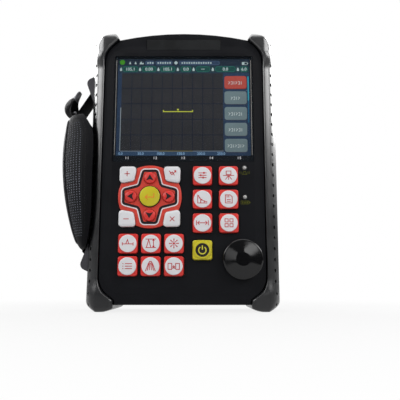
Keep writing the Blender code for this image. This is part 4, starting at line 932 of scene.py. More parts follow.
class Sign(Enum):
    """The generic signs, each with the name of the key that carries it."""

    GATE = "gate_key"
    PEAK = "peak_key"
    FREEZE = "freeze_key"
    MENU = "menu_key"
    ENVELOPE = "envelope_key"
    COMPARE = "compare_key"
    SETTINGS = "set_key"
    PROBE = "probe_key"
    CURVE = "curve_key"
    MEMORY = "memory_key"
    RANGE = "range_key"
    TOOLS = "tools_key"
    ECHO = "echo_key"
    PLUS = "gain_up_key"
    MINUS = "gain_down_key"
    CANCEL = "cancel_key"
    RETURN = "enter_key"

    @staticmethod
    def _star(*radii: float) -> list[list[Point]]:
        """Return eight spokes, each a list of its points at the given radii."""
        ways = [(math.cos(math.pi / 4 * i), math.sin(math.pi / 4 * i)) for i in range(8)]
        return [[(across * radius, up * radius) for radius in radii] for across, up in ways]

    def lines(self) -> list[list[Point]]:
        """Return the sign's lines.

        Returns:
            The lines, each a list of points in millimetres.
        """
        rows = (2.0, 0.0, -2.0)
        knobs = path(1.2, 2.0, -1.4, 0.0, 0.6, -2.0)
        middles = path(-2.0, 2.0, 2.0, 2.0, -2.0, -2.0, 2.0, -2.0)
        tile = path(-1.3, -1.3, -1.3, 1.3, 1.3, 1.3, 1.3, -1.3, -1.3, -1.3)
        return {
            Sign.GATE: [path(-4.4, -0.4, 4.4, -0.4), path(-4.4, -1.7, -4.4, 0.9), path(4.4, -1.7, 4.4, 0.9),
                        path(-1.5, -0.4, -0.3, 3.2, 0.9, -0.4)],
            Sign.PEAK: [path(-4.2, -3.3, 4.2, -3.3), path(-4.2, 3.5, 4.2, 3.5),
                        path(-3.5, -3.3, -1.7, 3.2, 0.1, -3.3), path(2.2, -3.0, 2.2, 3.2),
                        path(1.4, -2.0, 2.2, -3.1, 3.0, -2.0), path(1.4, 2.2, 2.2, 3.3, 3.0, 2.2)],
            Sign.FREEZE: self._star(1.3, 3.4),
            Sign.MENU: [path(-1.8, z, 4.0, z) for z in rows] + [path(-3.9, z, -3.1, z) for z in rows],
            Sign.ENVELOPE: [path(-4.0, -4.0, -1.9, 1.6, -0.6, 3.8, 0.6, 3.8, 1.9, 1.6, 4.0, -4.0),
                            path(-2.6, -3.6, -1.1, 2.2), path(-0.9, -3.2, -0.35, 2.8),
                            path(0.9, -3.2, 0.35, 2.8), path(2.6, -3.6, 1.1, 2.2)],
            Sign.COMPARE: [path(-4.6, -2.6, -4.6, 2.2, -1.6, 2.2, -1.6, -2.6, -4.6, -2.6),
                           path(1.6, -2.6, 1.6, 2.2, 4.6, 2.2, 4.6, -2.6, 1.6, -2.6),
                           path(-0.9, -0.8, 0.0, 0.3, 0.9, -0.8), path(-0.9, -2.0, 0.0, -0.9, 0.9, -2.0)],
            Sign.SETTINGS: [path(-3.4, z, x - 0.8, z) for x, z in knobs]
                           + [path(x + 0.8, z, 3.4, z) for x, z in knobs],
            Sign.PROBE: [path(-2.0, 0.6, -2.0, 3.6, 2.0, 3.6, 2.0, 0.6, -2.0, 0.6),
                         path(-4.6, -0.2, 4.6, -0.2), path(0.0, -0.2, -2.6, -3.6), path(0.0, -0.2, 0.0, -3.9),
                         path(0.0, -0.2, 2.6, -3.6)],
            Sign.CURVE: [path(-3.9, 3.4, -3.9, -3.4, 4.0, -3.4),
                         path(-3.4, 3.0, -2.4, 1.0, -0.6, -0.8, 1.6, -1.9, 4.0, -2.4),
                         path(-1.5, -3.4, -1.5, 0.0), path(1.4, -3.4, 1.4, -1.8)],
            Sign.MEMORY: [path(-2.8, -3.4, -2.8, 3.4, 1.2, 3.4, 2.8, 1.8, 2.8, -3.4, -2.8, -3.4),
                          path(-1.4, 3.0, -1.4, 1.2), path(0.0, 3.0, 0.0, 1.2),
                          path(-1.6, -0.6, 1.6, -0.6), path(-1.6, -2.0, 1.6, -2.0)],
            Sign.RANGE: [path(-3.8, 0.0, 3.8, 0.0), path(-2.4, 1.5, -3.9, 0.0, -2.4, -1.5),
                         path(2.4, 1.5, 3.9, 0.0, 2.4, -1.5), path(-4.9, -2.0, -4.9, 2.0),
                         path(4.9, -2.0, 4.9, 2.0)],
            Sign.TOOLS: [[(x + px, z + pz) for px, pz in tile] for x, z in middles],
            Sign.PLUS: [path(-2.3, 0.0, 2.3, 0.0), path(0.0, -2.3, 0.0, 2.3)],
            Sign.MINUS: [path(-2.3, 0.0, 2.3, 0.0)],
            Sign.ECHO: [path(-3.2, 2.6, -1.2, 0.8, -0.2, 1.6, 1.6, -1.4),
                        path(-2.4, 0.9, -0.6, -0.9, 2.6, 2.4), path(1.2, 2.7, 2.8, 2.7, 2.8, 1.1)],
            Sign.CANCEL: [path(-2.0, -2.0, 2.0, 2.0), path(-2.0, 2.0, 2.0, -2.0)],
            Sign.RETURN: [path(3.6, 2.6, 3.6, -0.6, -3.4, -0.6), path(-1.4, 1.6, -3.6, -0.6, -1.4, -2.8)],
        }[self]

    def dots(self) -> list[tuple[float, float, float]]:
        """Return the sign's filled discs.

        Returns:
            The discs, each (x, z, radius) in millimetres.
        """
        tips = [(x, z, 0.55) for spoke in self._star(3.5) for x, z in spoke]
        return {
            Sign.FREEZE: [(0.0, 0.0, 0.9)] + tips,
            Sign.SETTINGS: [(1.2, 2.0, 0.85), (-1.4, 0.0, 0.85), (0.6, -2.0, 0.85)],
            Sign.CURVE: [(-2.4, 1.0, 0.6), (-0.6, -0.8, 0.6), (1.6, -1.9, 0.6)],
        }.get(self, [])

    def print_on(self, ink: Ink, centre: Point = (0.0, 0.0), width: float = 0.62 * MM,
                 size: float = 1.0) -> None:
        """Print the sign.

        Args:
            ink: The print that it goes into.
            centre: The sign's middle.
            width: The width of its lines.
            size: How large it is drawn, 1 for the millimetres above.
        """
        scale = size * MM
        for line in self.lines():
            ink.stroke([(centre[0] + x * scale, centre[1] + z * scale) for x, z in line], width)
        for x, z, radius in self.dots():
            ink.disc((centre[0] + x * scale, centre[1] + z * scale), radius * scale)


CORNER_SIGNS = (Sign.ECHO, Sign.PLUS, Sign.MINUS, Sign.CANCEL)


# Case


@dataclass
class Housing:
    """The two halves of the case, their seal, the bare name strip and the window."""

    bench: Bench
    window_edge: float = 0.25 * MM
    strip_edge: float = 0.15 * MM
    screw_radius: float = 2.4 * MM
    screws: tuple[Point, ...] = ((-0.050, 0.2150), (0.050, 0.2150), (-0.0505, 0.0160), (0.0505, 0.0160))

    def build(self) -> None:
        """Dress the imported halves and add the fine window, name strip and screws."""
        for node, finish in (("front_case", CASE), ("rear_case", CASE), ("case_gasket", SEAL)):
            self.bench.dress_node(node, finish)
        edge, thin = self.window_edge, self.strip_edge
        rim = path(0.0, edge, -edge * 0.3, edge * 0.3, -edge, 0.0)
        self._sheet("display_window", "window_pane", WINDOW, "window", rim)
        self._sheet("name_plate", "name_strip", PLATE, "plate", path(0.0, thin, -thin, 0.0))
        self._screws()

    def _sheet(self, node: str, name: str, finish: Finish, slot: str, rim: Sequence[Point]) -> None:
        """Build a thin sheet in a packed one's place, with a softened front edge.

        Args:
            node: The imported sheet.
            name: The piece's name.
            finish: Its finish.
            slot: Its material slot.
            rim: The front edge's sections: how far each is moved out, and how far it lies behind the face.
        """
        low, high = (corner - self.bench.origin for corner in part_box(node))
        middle = ((low.x + high.x) / 2, (low.z + high.z) / 2)
        half_x, half_z = (high.x - low.x) / 2, (high.z - low.z) / 2
        sections = [(0.0, high.y)] + [(grow, low.y + behind) for grow, behind in rim]
        form = Form()
        form.loft([[(x, y, z) for x, z in rounded(half_x + grow, half_z + grow, MM + grow, middle, 6)]
                   for grow, y in sections])
        self.bench.piece(name, form, [finish], "root", slot, [node])

    def _screws(self) -> None:
        """Build the cross-head screws that hold the rear case."""
        heads, crosses = Form(), Form()
        radius = self.screw_radius
        arm, half = radius * 0.55, 0.28 * MM
        rises = path(radius, -0.4, radius, 0.25, radius * 0.86, 0.55, radius * 0.3, 0.7)
        profile = [(across, BACK_Y + rise * MM) for across, rise in rises]
        corner = path(arm, -half, arm, half, half, half)
        plus = [spot for quarter in range(4) for spot in turned_by(corner, 90 * quarter)]
        for x, z in self.screws:
            heads.turn(profile, 32, (x, z))
            crosses.prism([(x + px, z + pz) for px, pz in plus], BACK_Y + 0.1 * MM, BACK_Y + 2 * MM)
        screws = self.bench.piece("rear_screws", heads, [STEEL], "root", "steel")
        self.bench.carve(screws, crosses)


@dataclass
class Bumper:
    """One rubber bumper: a section carried up the side of the case, with an ear at each corner."""

    bench: Bench
    name: str
    side: int
    half_width: float = 0.082
    panel_half: float = 0.0690
    core_half: float = 0.0745
    core_corner: float = 0.014
    case_bottom: float = 0.0055
    crown_z: float = 0.2411
    crown_radius: float = 0.26
    top_centre: Point = (0.0490, 0.2140)
    top_radius: float = 0.0200
    top_inner: float = 0.0564
    tip: Point = (0.0602, 0.2406)
    low_centre: Point = (0.0515, 0.0280)
    low_radius: float = 0.0175
    foot_inner: float = 0.0560
    foot_round: float = 0.0030
    foot_flat: Point = (0.0640, 0.0725)
    foot_height: float = 0.0090
    ear_proud: float = 0.0030
    band_proud: float = 0.0009
    ear_blend: float = 0.0150
    ear_lead: float = 0.0070
    foot_power: float = 2.4
    shoulder_power: float = 3.6
    ear_round: float = 0.0055
    foot_edge: float = 0.0035
    shoulder_z: float = 0.2260
    lip: float = 0.0030
    clear: float = 0.0003
    power: float = 2.1
    dimple_radius: float = 0.0015
    dimple_depth: float = 0.0014
    dimple_pitch: float = 0.0089
    dimple_count: int = 22
    dimple_low: float = 0.0244
    dimple_y: float = -0.0272
    ear_dimples: tuple[float, ...] = (0.0058, 0.0146, 0.2215, 0.2305)
    steps: int = 14

    def crown(self, x: float, grow: float = 0.0) -> float:
        """Return the height of the case's crowned top edge at x."""
        return self.crown_z - self.crown_radius + math.sqrt((self.crown_radius + grow) ** 2 - x * x)

    def seam(self) -> list[Point]:
        """Return the line where the right bumper meets the panel, from the foot up to the crown.

        Returns:
            The line's points, each (x, z).
        """
        foot_centre = (self.foot_inner + self.foot_round, self.low_centre[1] - 0.020)
        foot = arc(foot_centre, self.foot_round, 180, 130, 5)
        lower = arc(self.low_centre, self.low_radius, -52, 0, 12)
        upper = arc(self.top_centre, self.top_radius, 0, 45, 12)
        return foot + lower + upper + [(self.top_inner, self.crown(self.top_inner))]

    def inner(self, z: float) -> float:
        """Return how far in the bumper reaches at a height.

        Args:
            z: The height.

        Returns:
            The distance from the middle of the case.
        """
        if z < self.foot_edge:
            return self.foot_inner + (self.foot_flat[0] - self.foot_inner) * (1 - z / self.foot_edge) ** 2
        seam = self.seam()
        if z <= seam[0][1]:
            return self.foot_inner
        if z >= seam[-1][1]:
            share = (z - seam[-1][1]) / (self.tip[1] - seam[-1][1])
            return seam[-1][0] + (self.tip[0] - 0.8 * MM - seam[-1][0]) * share
        for (x0, z0), (x1, z1) in zip(seam, seam[1:]):
            if z0 <= z <= z1:
                return x0 + (x1 - x0) * (z - z0) / max(z1 - z0, 1e-9)
        return self.panel_half

    def outer(self, z: float) -> float:
        """Return how far out the bumper reaches at a height.

        Args:
            z: The height.

        Returns:
            The distance from the middle of the case.
        """
        if z < self.foot_height:
            share = 1 - z / self.foot_height
            return self.half_width - (self.half_width - self.foot_flat[1]) * share ** self.foot_power
        if z > self.shoulder_z:
            share = (z - self.shoulder_z) / (self.tip[1] - self.shoulder_z)
            return self.half_width - (self.half_width - self.tip[0]) * share ** self.shoulder_power
        return self.half_width

    def ring(self, z: float) -> list[Point]:
        """Return the section at a height, from the front seam round the side to the back seam.

        Args:
            z: The height.

        Returns:
            The section's points, each (x, y), for the right side.
        """
        inner, outer = self.inner(z), self.outer(z)
        above, below = z - self.top_centre[1] + self.ear_lead, self.low_centre[1] - z
        grown = min(max(above, below, 0.0) / self.ear_blend, 1.0)
        proud = self.band_proud + (self.ear_proud - self.band_proud) * grown * grown * (3 - 2 * grown)
        taken = self._taken(z)
        flat_end = min(max(inner + proud, self.panel_half + 0.5 * MM), inner + 0.7 * (outer - inner))
        chamfer = min(inner + proud, inner + 0.4 * (flat_end - inner) + 0.5 * MM)
        halves = []
        for face_y, way in ((FACE_Y, -1), (BACK_Y, 1)):
            depth = face_y + way * (proud - taken) - PARTING_Y
            half = []
            for i in range(5):
                angle = math.radians(90 * i / 4)
                x = inner + (chamfer - inner) * (1 - math.cos(angle))
                half.append((x, PARTING_Y + depth - way * proud * (1 - math.sin(angle))))
            for i in range(self.steps):
                angle = math.radians(90 * i / self.steps)
                x = flat_end + (outer - flat_end) * math.sin(angle) ** (2 / self.power)
                half.append((x, PARTING_Y + depth * math.cos(angle) ** (2 / self.power)))
            halves.append(half)
        return halves[0] + [(outer, PARTING_Y)] + halves[1][::-1]

    def _taken(self, z: float) -> float:
        """Return how much the rounded top edge and foot edge take off the depth at a height.

        Args:
            z: The height.

        Returns:
            The depth that is taken off each face.
        """
        ends = ((z - (self.tip[1] - self.ear_round), self.ear_round), (self.foot_edge - z, self.foot_edge))
        for reach, radius in ends:
            if reach > 0:
                return radius - math.sqrt(max(radius ** 2 - reach * reach, 0.0))
        return 0.0

    def levels(self) -> list[float]:
        """Return the heights of the sections, closer together where the ears curve.

        Returns:
            The heights, lowest first.
        """
        foot = [self.foot_edge * (1 - math.cos(math.radians(9 * i))) for i in range(11)]
        lower = [self.foot_edge + 1.2 * MM * i for i in range(1, 34)]
        middle = [lower[-1] + (self.top_centre[1] - 8 * MM - lower[-1]) * i / 24 for i in range(1, 25)]
        seam_top = self.crown(self.top_inner)
        upper = [middle[-1] + (seam_top - middle[-1]) * i / 24 for i in range(1, 25)]
        rise = self.tip[1] - 0.1 * MM - seam_top
        top = [seam_top + rise * math.sin(math.radians(15 * i)) for i in range(1, 7)]
        return foot + lower + middle + upper + top

    def core(self, grow: float) -> list[Point]:
        """Return the outline of the case under its bumpers.

        Args:
            grow: How far it is moved out.

        Returns:
            The outline's points, each (x, z).
        """
        half, corner = self.core_half + grow, self.core_corner + grow
        centre_z = self.crown_z - self.crown_radius
        across = self.crown_radius + grow - corner
        fillet_z = centre_z + math.sqrt(across * across - (half - corner) ** 2)
        turn = math.degrees(math.atan2(fillet_z - centre_z, half - corner))
        foot_z = self.case_bottom - grow + corner
        right = arc((half - corner, foot_z), corner, -90, 0, 8)
        right += arc((half - corner, fillet_z), corner, 0, turn, 8)
        top = arc((0.0, centre_z), self.crown_radius + grow, turn, 180 - turn, 20)[1:-1]
        left = arc((corner - half, fillet_z), corner, 180 - turn, 180, 8)
        return right + top + left + arc((corner - half, foot_z), corner, 180, 270, 8)

    def dimples(self) -> Form:
        """Return the cutters of the dimples down the front quarter, with rounded floors.

        Returns:
            The cutters in one form, which take the second finish: the darker rubber of painted shade.
        """
        form = Form()
        form.finish = 1
        radius, depth = self.dimple_radius, self.dimple_depth
        profile = path(radius * 0.35, -depth, radius * 0.75, -depth * 0.8, radius * 0.9, -depth * 0.4,
                       radius, 0.1 * MM, radius * 1.1, depth)
        heights = [self.dimple_low + self.dimple_pitch * i for i in range(self.dimple_count)]
        for z in heights + list(self.ear_dimples):
            ring = self.ring(z)
            for (x0, y0), (x1, y1) in zip(ring, ring[1:]):
                if x0 > self.inner(z) + 5 * MM and y0 <= self.dimple_y <= y1:
                    x = x0 + (x1 - x0) * (self.dimple_y - y0) / (y1 - y0)
                    outward = Vector((self.side * (y1 - y0), x0 - x1, 0.0)).normalized()
                    spot = Vector((self.side * x, self.dimple_y, z))
                    form.cone(spot, outward, profile, 18)
                    break
        return form

    def build(self) -> None:
        """Build the bumper, hollowed to fit the case, with its dimples and its strap pockets."""
        form = Form()
        form.loft([[(self.side * x, y, z) for x, y in self.ring(z)] for z in self.levels()])
        bumper = self.bench.piece(self.name + "_skin", form, [RUBBER, DIMPLE_SHADE], "root", "rubber",
                                  [self.name], 40.0)
        seat = Form()
        seat.prism(self.core(self.clear), FACE_Y + self.lip - self.clear, BACK_Y - self.lip + self.clear)
        self.bench.carve(bumper, seat)
        self.bench.carve(bumper, self.dimples())
        if self.side < 0:
            self._cut_pockets(bumper)
        shading = bumper.modifiers.new("even_shading", "WEIGHTED_NORMAL")
        shading.keep_sharp = True

    def _cut_pockets(self, bumper: bpy.types.Object) -> None:
        """Cut the two openings through which the strap lugs reach the case.

        Args:
            bumper: The left bumper's piece.
        """
        form = Form()
        for node in ("upper_strap_lug", "lower_strap_lug"):
            low, high = (corner - self.bench.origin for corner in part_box(node))
            middle = ((low.y + high.y) / 2, (low.z + high.z) / 2)
            half_y, half_z = (high.y - low.y) / 2 + self.clear, (high.z - low.z) / 2 + self.clear
            pocket = rounded(half_y, half_z, 3.3 * MM, middle, 6)
            ends = (0.5 * MM - self.core_half, -self.half_width - 2 * MM)
            form.loft([[(x, y, z) for y, z in pocket] for x in ends])
        self.bench.carve(bumper, form)


# Display


@dataclass
class Screen:
    """The lit display behind the window: fields, pills, soft keys, grid, gate and scale."""

    bench: Bench
    half: float = 0.0578
    low: float = 0.1302
    high: float = 0.2182
    step: float = 0.03 * MM
    grid: tuple[float, float, float, float] = (-0.0542, 0.0344, 0.1348, 0.2051)
    columns: int = 10
    rows: int = 5
    keys_x: Point = (0.0356, 0.0550)
    keys_top: tuple[float, ...] = (0.2024, 0.1883, 0.1740, 0.1597, 0.1454)
    key_height: float = 0.0116
    key_marks: tuple[int, ...] = (6, 4, 6, 6, 7)
    mark_pitch: float = 0.0021
    face: float = 0.0

    def __post_init__(self) -> None:
        """Read the depth of the display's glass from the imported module."""
        low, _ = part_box("display_module")
        self.face = low.y - self.bench.origin.y + 0.35 * MM

    def ink(self, layer: int) -> Ink:
        """Return a print on the display, on the given layer above the glass."""
        depth = self.face - self.step * layer
        return Ink(lambda x, z: depth, self.step, self.step * 0.2)

    def show(self, name: str, ink: Ink, colour: Colour, fade: float = 0.08) -> None:
        """Make one lit piece of the display."""
        glow = Glow("glow_" + name, colour, 0.55, specular=0.02, fade=fade)
        self.bench.piece("screen_" + name, ink, [glow], "root", "display")

    def block(self, name: str, layer: int, sides: Sequence[float], colour: Colour,
              fade: float = 0.08) -> None:
        """Make one lit rectangle.

        Args:
            name: The piece's name.
            layer: Its layer above the glass.
            sides: Its left, right, low and high side.
            colour: The colour that it shows.
            fade: How much its strength changes from low to high.
        """
        ink = self.ink(layer)
        ink.area(self.box(*sides))
        self.show(name, ink, colour, fade)

    def rule(self, name: str, layer: int, strokes: Sequence[tuple[Sequence[Point], float]], colour: Colour,
             longest: float = 1.2 * MM) -> None:
        """Make one lit piece of lines.

        Args:
            name: The piece's name.
            layer: Its layer above the glass.
            strokes: The lines, each with its points and its width in millimetres.
            colour: The colour that they show.
            longest: The longest run that isn't split.
        """
        ink = self.ink(layer)
        for points, width in strokes:
            ink.stroke(points, width * MM, longest=longest)
        self.show(name, ink, colour)

    @staticmethod
    def box(left: float, right: float, low: float, high: float, radius: float = 0.1 * MM) -> list[Point]:
        """Return the outline of a box with round corners between four sides."""
        middle = ((left + right) / 2, (low + high) / 2)
        return rounded((right - left) / 2, (high - low) / 2, radius, middle, 5)

    def build(self) -> None:
        """Build every layer of the display."""
        self.bench.dress_node("display_module", BLACK)
        self.block("field", 0, (-self.half, self.half, self.low, self.high), srgb(46, 62, 86), 0.12)
        self._grid()
        self._bars()
        self._readings()
        self._soft_keys()
        self._scale()
        self._bezel_edges()

    def _grid(self) -> None:
        """Build the dark trace area with its grid and the gate bar."""
        left, right, low, high = self.grid
        self.block("trace_area", 1, self.grid, srgb(50, 49, 51), 0.14)
        across = [left + (right - left) * i / self.columns for i in range(1, self.columns)]
        up = [low + (high - low) * i / self.rows for i in range(1, self.rows)]
        lines = [path(x, low, x, high) for x in across] + [path(left, z, right, z) for z in up]
        self.rule("grid_lines", 2, [(line, 0.60) for line in lines], srgb(26, 31, 47), 1.0)
        gate = self.ink(3)
        gate.stroke(path(-0.0175, 0.1713, -0.0175, 0.1698, 0.0078, 0.1698, 0.0078, 0.1713), 0.75 * MM)
        gate.area(path(-0.0057, 0.1709, -0.0041, 0.1709, -0.0041, 0.1723, -0.0057, 0.1723))
        self.show("gate_bar", gate, srgb(196, 206, 66))
        side, base = left - 0.3 * MM, low - 0.3 * MM
        edges = ((path(side, low, side, 0.1735), 0.55), (path(left, base, -0.0212, base), 0.35),
                 (path(0.0082, base, right, base), 0.35))
        self.rule("trace_line", 3, edges, srgb(150, 162, 168))
        self.rule("gate_base", 3, [(path(-0.0210, base, 0.0080, base), 0.40)], srgb(150, 140, 62))

    def _bars(self) -> None:
        """Build the dark head bar, the reading row, the scroll bar and the scale's ground."""
        half, (_, right, low, _) = self.half, self.grid
        for name, layer, sides, colour in (
                ("head_bar", 1, (-half, half, 0.2122, self.high), srgb(38, 48, 62)),
                ("reading_row", 1, (-0.0560, half, 0.2056, 0.2120), srgb(40, 62, 70)),
                ("scroll_bar", 2, (0.0559, 0.0569, 0.1800, 0.2020), srgb(56, 168, 192)),
                ("scroll_track", 1, (0.0559, 0.0569, 0.1600, 0.1802), srgb(40, 96, 128)),
                ("foot_bar", 1, (-half, right, self.low, low - 0.6 * MM), srgb(52, 74, 102))):
            self.block(name, layer, sides, colour)

    def _readings(self) -> None:
        """Build the pills of the two head rows with plain figures and signs in them."""
        slate, teal, light = self.ink(2), self.ink(2), self.ink(3)
        rims, teal_rims = self.ink(3), self.ink(3)
        for left, right in path(-0.0340, -0.0262, -0.0247, -0.0103, -0.0040, 0.0315):
            pill = self.box(left, right, 0.2129, 0.2164, 0.0016)
            slate.area(pill)
            rims.stroke(pill, 0.28 * MM, True)
        spans = path(-0.0538, -0.0402, -0.0367, -0.0244, -0.0205, -0.0077, -0.0026, 0.0065, 0.0109, 0.0228,
                     0.0279, 0.0453, 0.0497, 0.0562)
        figures = ("105.1", "0.00", "105.1", "0.0", "", "0.0", "6.0")
        for (left, right), text in zip(spans, figures):
            pill = self.box(left, right, 0.2066, 0.2112, 0.0021)
            teal.area(pill)
            teal_rims.stroke(pill, 0.32 * MM, True)
            middle = (left + right) / 2
            if text:
                light.figures(text, (middle, 0.2089), 2.9 * MM)
            else:
                light.stroke(path(middle - 0.0016, 0.2089, middle + 0.0016, 0.2089), 0.5 * MM)
        self._head_signs(light)
        self.show("pills", slate, srgb(52, 70, 96))
        self.show("pill_rims", rims, srgb(84, 108, 142))
        self.show("reading_pills", teal, srgb(34, 76, 72))
        self.show("reading_rims", teal_rims, srgb(44, 128, 108))
        self.show("readings", light, srgb(188, 208, 208))
        dot = self.ink(2)
        dot.disc((-0.0541, 0.2152), 2.3 * MM)
        self.show("ready_dot", dot, srgb(72, 156, 36))

    def _head_signs(self, light: Ink) -> None:
        """Print the short bars and small signs of the two head rows, and the battery sign.

        Args:
            light: The print that they go into.
        """
        pitch = self.mark_pitch
        for left, count in ((-0.0232, 6), (-0.0020, 13), (-0.0322, 3)):
            for i in range(count):
                start = left + pitch * i
                light.area(self.box(start, start + 0.0012, 0.2139, 0.2153 + 0.0003 * (i % 2)))
        for x in (-0.0473, -0.0425):
            light.area(path(x - 0.0010, 0.2135, x + 0.0010, 0.2135, x, 0.2161))
        light.area(path(-0.0391, 0.2134, -0.0353, 0.2134, -0.0356, 0.2150, -0.0366, 0.2143, -0.0376, 0.2162,
                        -0.0386, 0.2146))
        square = path(-0.0013, -0.0013, 0.0013, -0.0013, 0.0013, 0.0013, -0.0013, 0.0013)
        light.area(turned_by(square, 45, (-0.0069, 0.2147)))
        for x in (-0.0552, -0.0385, -0.0223, -0.0053, 0.0086, 0.0255, 0.0476):
            left, right = x - 0.0009, x + 0.0009
            light.area(path(left, 0.2072, right, 0.2072, right, 0.2088, x, 0.2106, left, 0.2088))
        light.stroke(self.box(0.0514, 0.0559, 0.2130, 0.2153, 0.0004), 0.35 * MM, True)
        light.area(self.box(0.0516, 0.0534, 0.2132, 0.2151))
        light.area(self.box(0.0561, 0.0566, 0.2137, 0.2146))

    def _soft_keys(self) -> None:
        """Build the five soft keys as raised tiles with greeked bars in place of words."""
        left, right = self.keys_x
        middle = (left + right) / 2
        marks = (path(0.0001, 0.0012, 0.0014, 0.0005, 0.0001, -0.0012),
                 path(0.0002, -0.0012, 0.0014, -0.0012, 0.0014, 0.0012, 0.0002, 0.0012),
                 path(0.0008, -0.0014, 0.0008, 0.0014))
        bars = self.ink(8)
        y = self.face - self.step * 3
        for i, (top, count) in enumerate(zip(self.keys_top, self.key_marks)):
            low = top - self.key_height
            outline = self.box(left, right, low, top, 0.0021)
            inner = self.box(left + 0.0003, right - 0.0003, low + 0.0008, top - 0.0003, 0.0018)
            shadow = self.ink(2)
            shadow.area([(x, z - 0.0004) for x, z in outline])
            tile = Form()
            sections = ((outline, y + self.step), (outline, y), (inner, y - 0.12 * MM))
            tile.loft([[(x, depth, z) for x, z in line] for line, depth in sections])
            self.show(f"soft_key_{i}", tile, srgb(112, 130, 134) if i else srgb(178, 78, 68))
            self.show(f"soft_key_shade_{i}", shadow, srgb(70, 66, 76) if i else srgb(130, 40, 34))
            z = top - self.key_height / 2 - 0.0006
            for j in range(count):
                x = middle + self.mark_pitch * (j - count / 2)
                bars.stroke([(x + px, z + pz) for px, pz in marks[j % 3]], 0.46 * MM)
        bars.proud = 0.05 * MM
        self.show("soft_key_marks", bars, srgb(196, 206, 206))

    def _scale(self) -> None:
        """Build the plain figures under the trace area."""
        marks = self.ink(2)
        left, right = self.grid[0], self.grid[1]
        for i, text in enumerate(("0.0", "50.0", "100.0", "150.0", "200.0", "250.0")):
            x = left + 0.0005 + (right - left - 0.0025) * i / 5
            marks.figures(text, (x, 0.1323), 2.3 * MM)
        self.show("scale_figures", marks, srgb(140, 178, 212))

    def _bezel_edges(self) -> None:
        """Build the bright metal edges of the display's bezel that show at both sides of the window."""
        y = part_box("display_window")[1].y - self.bench.origin.y
        for name, x in (("left", -0.05865), ("right", 0.05865)):
            form = Form()
            form.prism(rounded(0.25 * MM, 0.0428, 0.2 * MM, (x, 0.1733), 4), y + 0.06 * MM, y + 0.26 * MM)
            self.bench.piece(f"bezel_edge_{name}", form, [BEZEL], "root", "steel")


# Keypad


@dataclass
class SquareKey:
    """A square red cap with a round light cap set in it, and its sign."""

    bench: Bench
    name: str
    sign: Sign | None
    cap: Finish = RED
    half: float = 0.0080
    corner: float = 0.0020
    dome: float = 0.0072
    proud: float = 0.0030
    edge: float = 0.0008
    dome_rise: float = 0.0006
    crown: float = 0.12 * MM
    flange: float = 0.0008
    flange_thick: float = 0.0047

    def surface(self, x: float, z: float) -> float:
        """Return the depth of the light cap's face at a place."""
        share = min(math.hypot(x, z) / self.dome, 1.0)
        return -self.proud - self.dome_rise - self.crown * (1 - share * share)

    @staticmethod
    def _square(half: float, corner: float, y: float) -> list[tuple[float, float, float]]:
        """Return a rounded square section at a depth."""
        return [(x, y, z) for x, z in rounded(half, half, corner)]

    def _dome(self) -> list[Point]:
        """Return the light cap's profile.

        Returns:
            The points from its buried foot to its middle, each (radius, y).
        """
        foot = -self.proud - self.dome_rise * 0.35
        reach = self.dome_rise * 0.65
        profile = [(self.dome, 0.2 * MM - self.proud), (self.dome, foot)]
        for i in range(1, 5):
            angle = math.radians(22.5 * i)
            profile.append((self.dome - reach * (1 - math.cos(angle)), foot - reach * math.sin(angle)))
        for share in (0.85, 0.65, 0.45, 0.25, 0.08):
            radius = (self.dome - reach) * share
            profile.append((radius, self.surface(radius, 0.0)))
        return profile

    def build(self) -> None:
        """Build the cap and print its sign."""
        bench = Bench(self.bench.origin + self._place())
        _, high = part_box(self.name)
        back = high.y - bench.origin.y
        step = back - self.flange_thick
        skirt = self.half + self.flange
        steps = ((skirt, back), (skirt, step), (self.half, step))
        rings = [self._square(half, self.corner, y) for half, y in steps]
        for i in range(5):
            angle = math.radians(22.5 * i)
            grow = -self.edge * (1 - math.cos(angle))
            y = -self.proud + self.edge * (1 - math.sin(angle))
            rings.append(self._square(self.half + grow, self.corner + grow, y))
        form = Form()
        form.loft(rings)
        form.finish = 1
        form.turn(self._dome(), 48)
        power = self.sign is None
        bench.piece(self.name + "_cap", form, [self.cap, YELLOW if power else WHITE], self.name,
                    "yellow_key" if power else "red_key", [self.name])
        if power:
            self._power_sign(bench)
        else:
            ink = Ink(self.surface)
            self.sign.print_on(ink)
            bench.piece(self.name + "_sign", ink, [RED_INK], self.name, "red_key")

    def _place(self) -> Vector:
        """Return the middle of the key on the face, about the device's origin."""
        middle = self.bench.middle_of(self.name)
        return Vector((middle.x, FACE_Y, middle.z))

    def _power_sign(self, bench: Bench) -> None:
        """Print the black disc with the yellow ring and bar of the power key.

        Args:
            bench: The bench about the middle of the key.
        """
        disc = Ink(self.surface, 0.05 * MM)
        disc.area(circle(5.6 * MM, 48), 6)
        bench.piece(self.name + "_disc", disc, [BLACK_INK], self.name, "yellow_key")
        sign = Ink(self.surface, 0.12 * MM, 0.0)
        sign.stroke(arc((0.0, -0.2 * MM), 3.0 * MM, 125, 415, 36), 0.95 * MM)
        sign.stroke([(0.0, 0.1 * MM), (0.0, 3.7 * MM)], 1.0 * MM)
        bench.piece(self.name + "_sign", sign, [YELLOW_INK], self.name, "yellow_key")


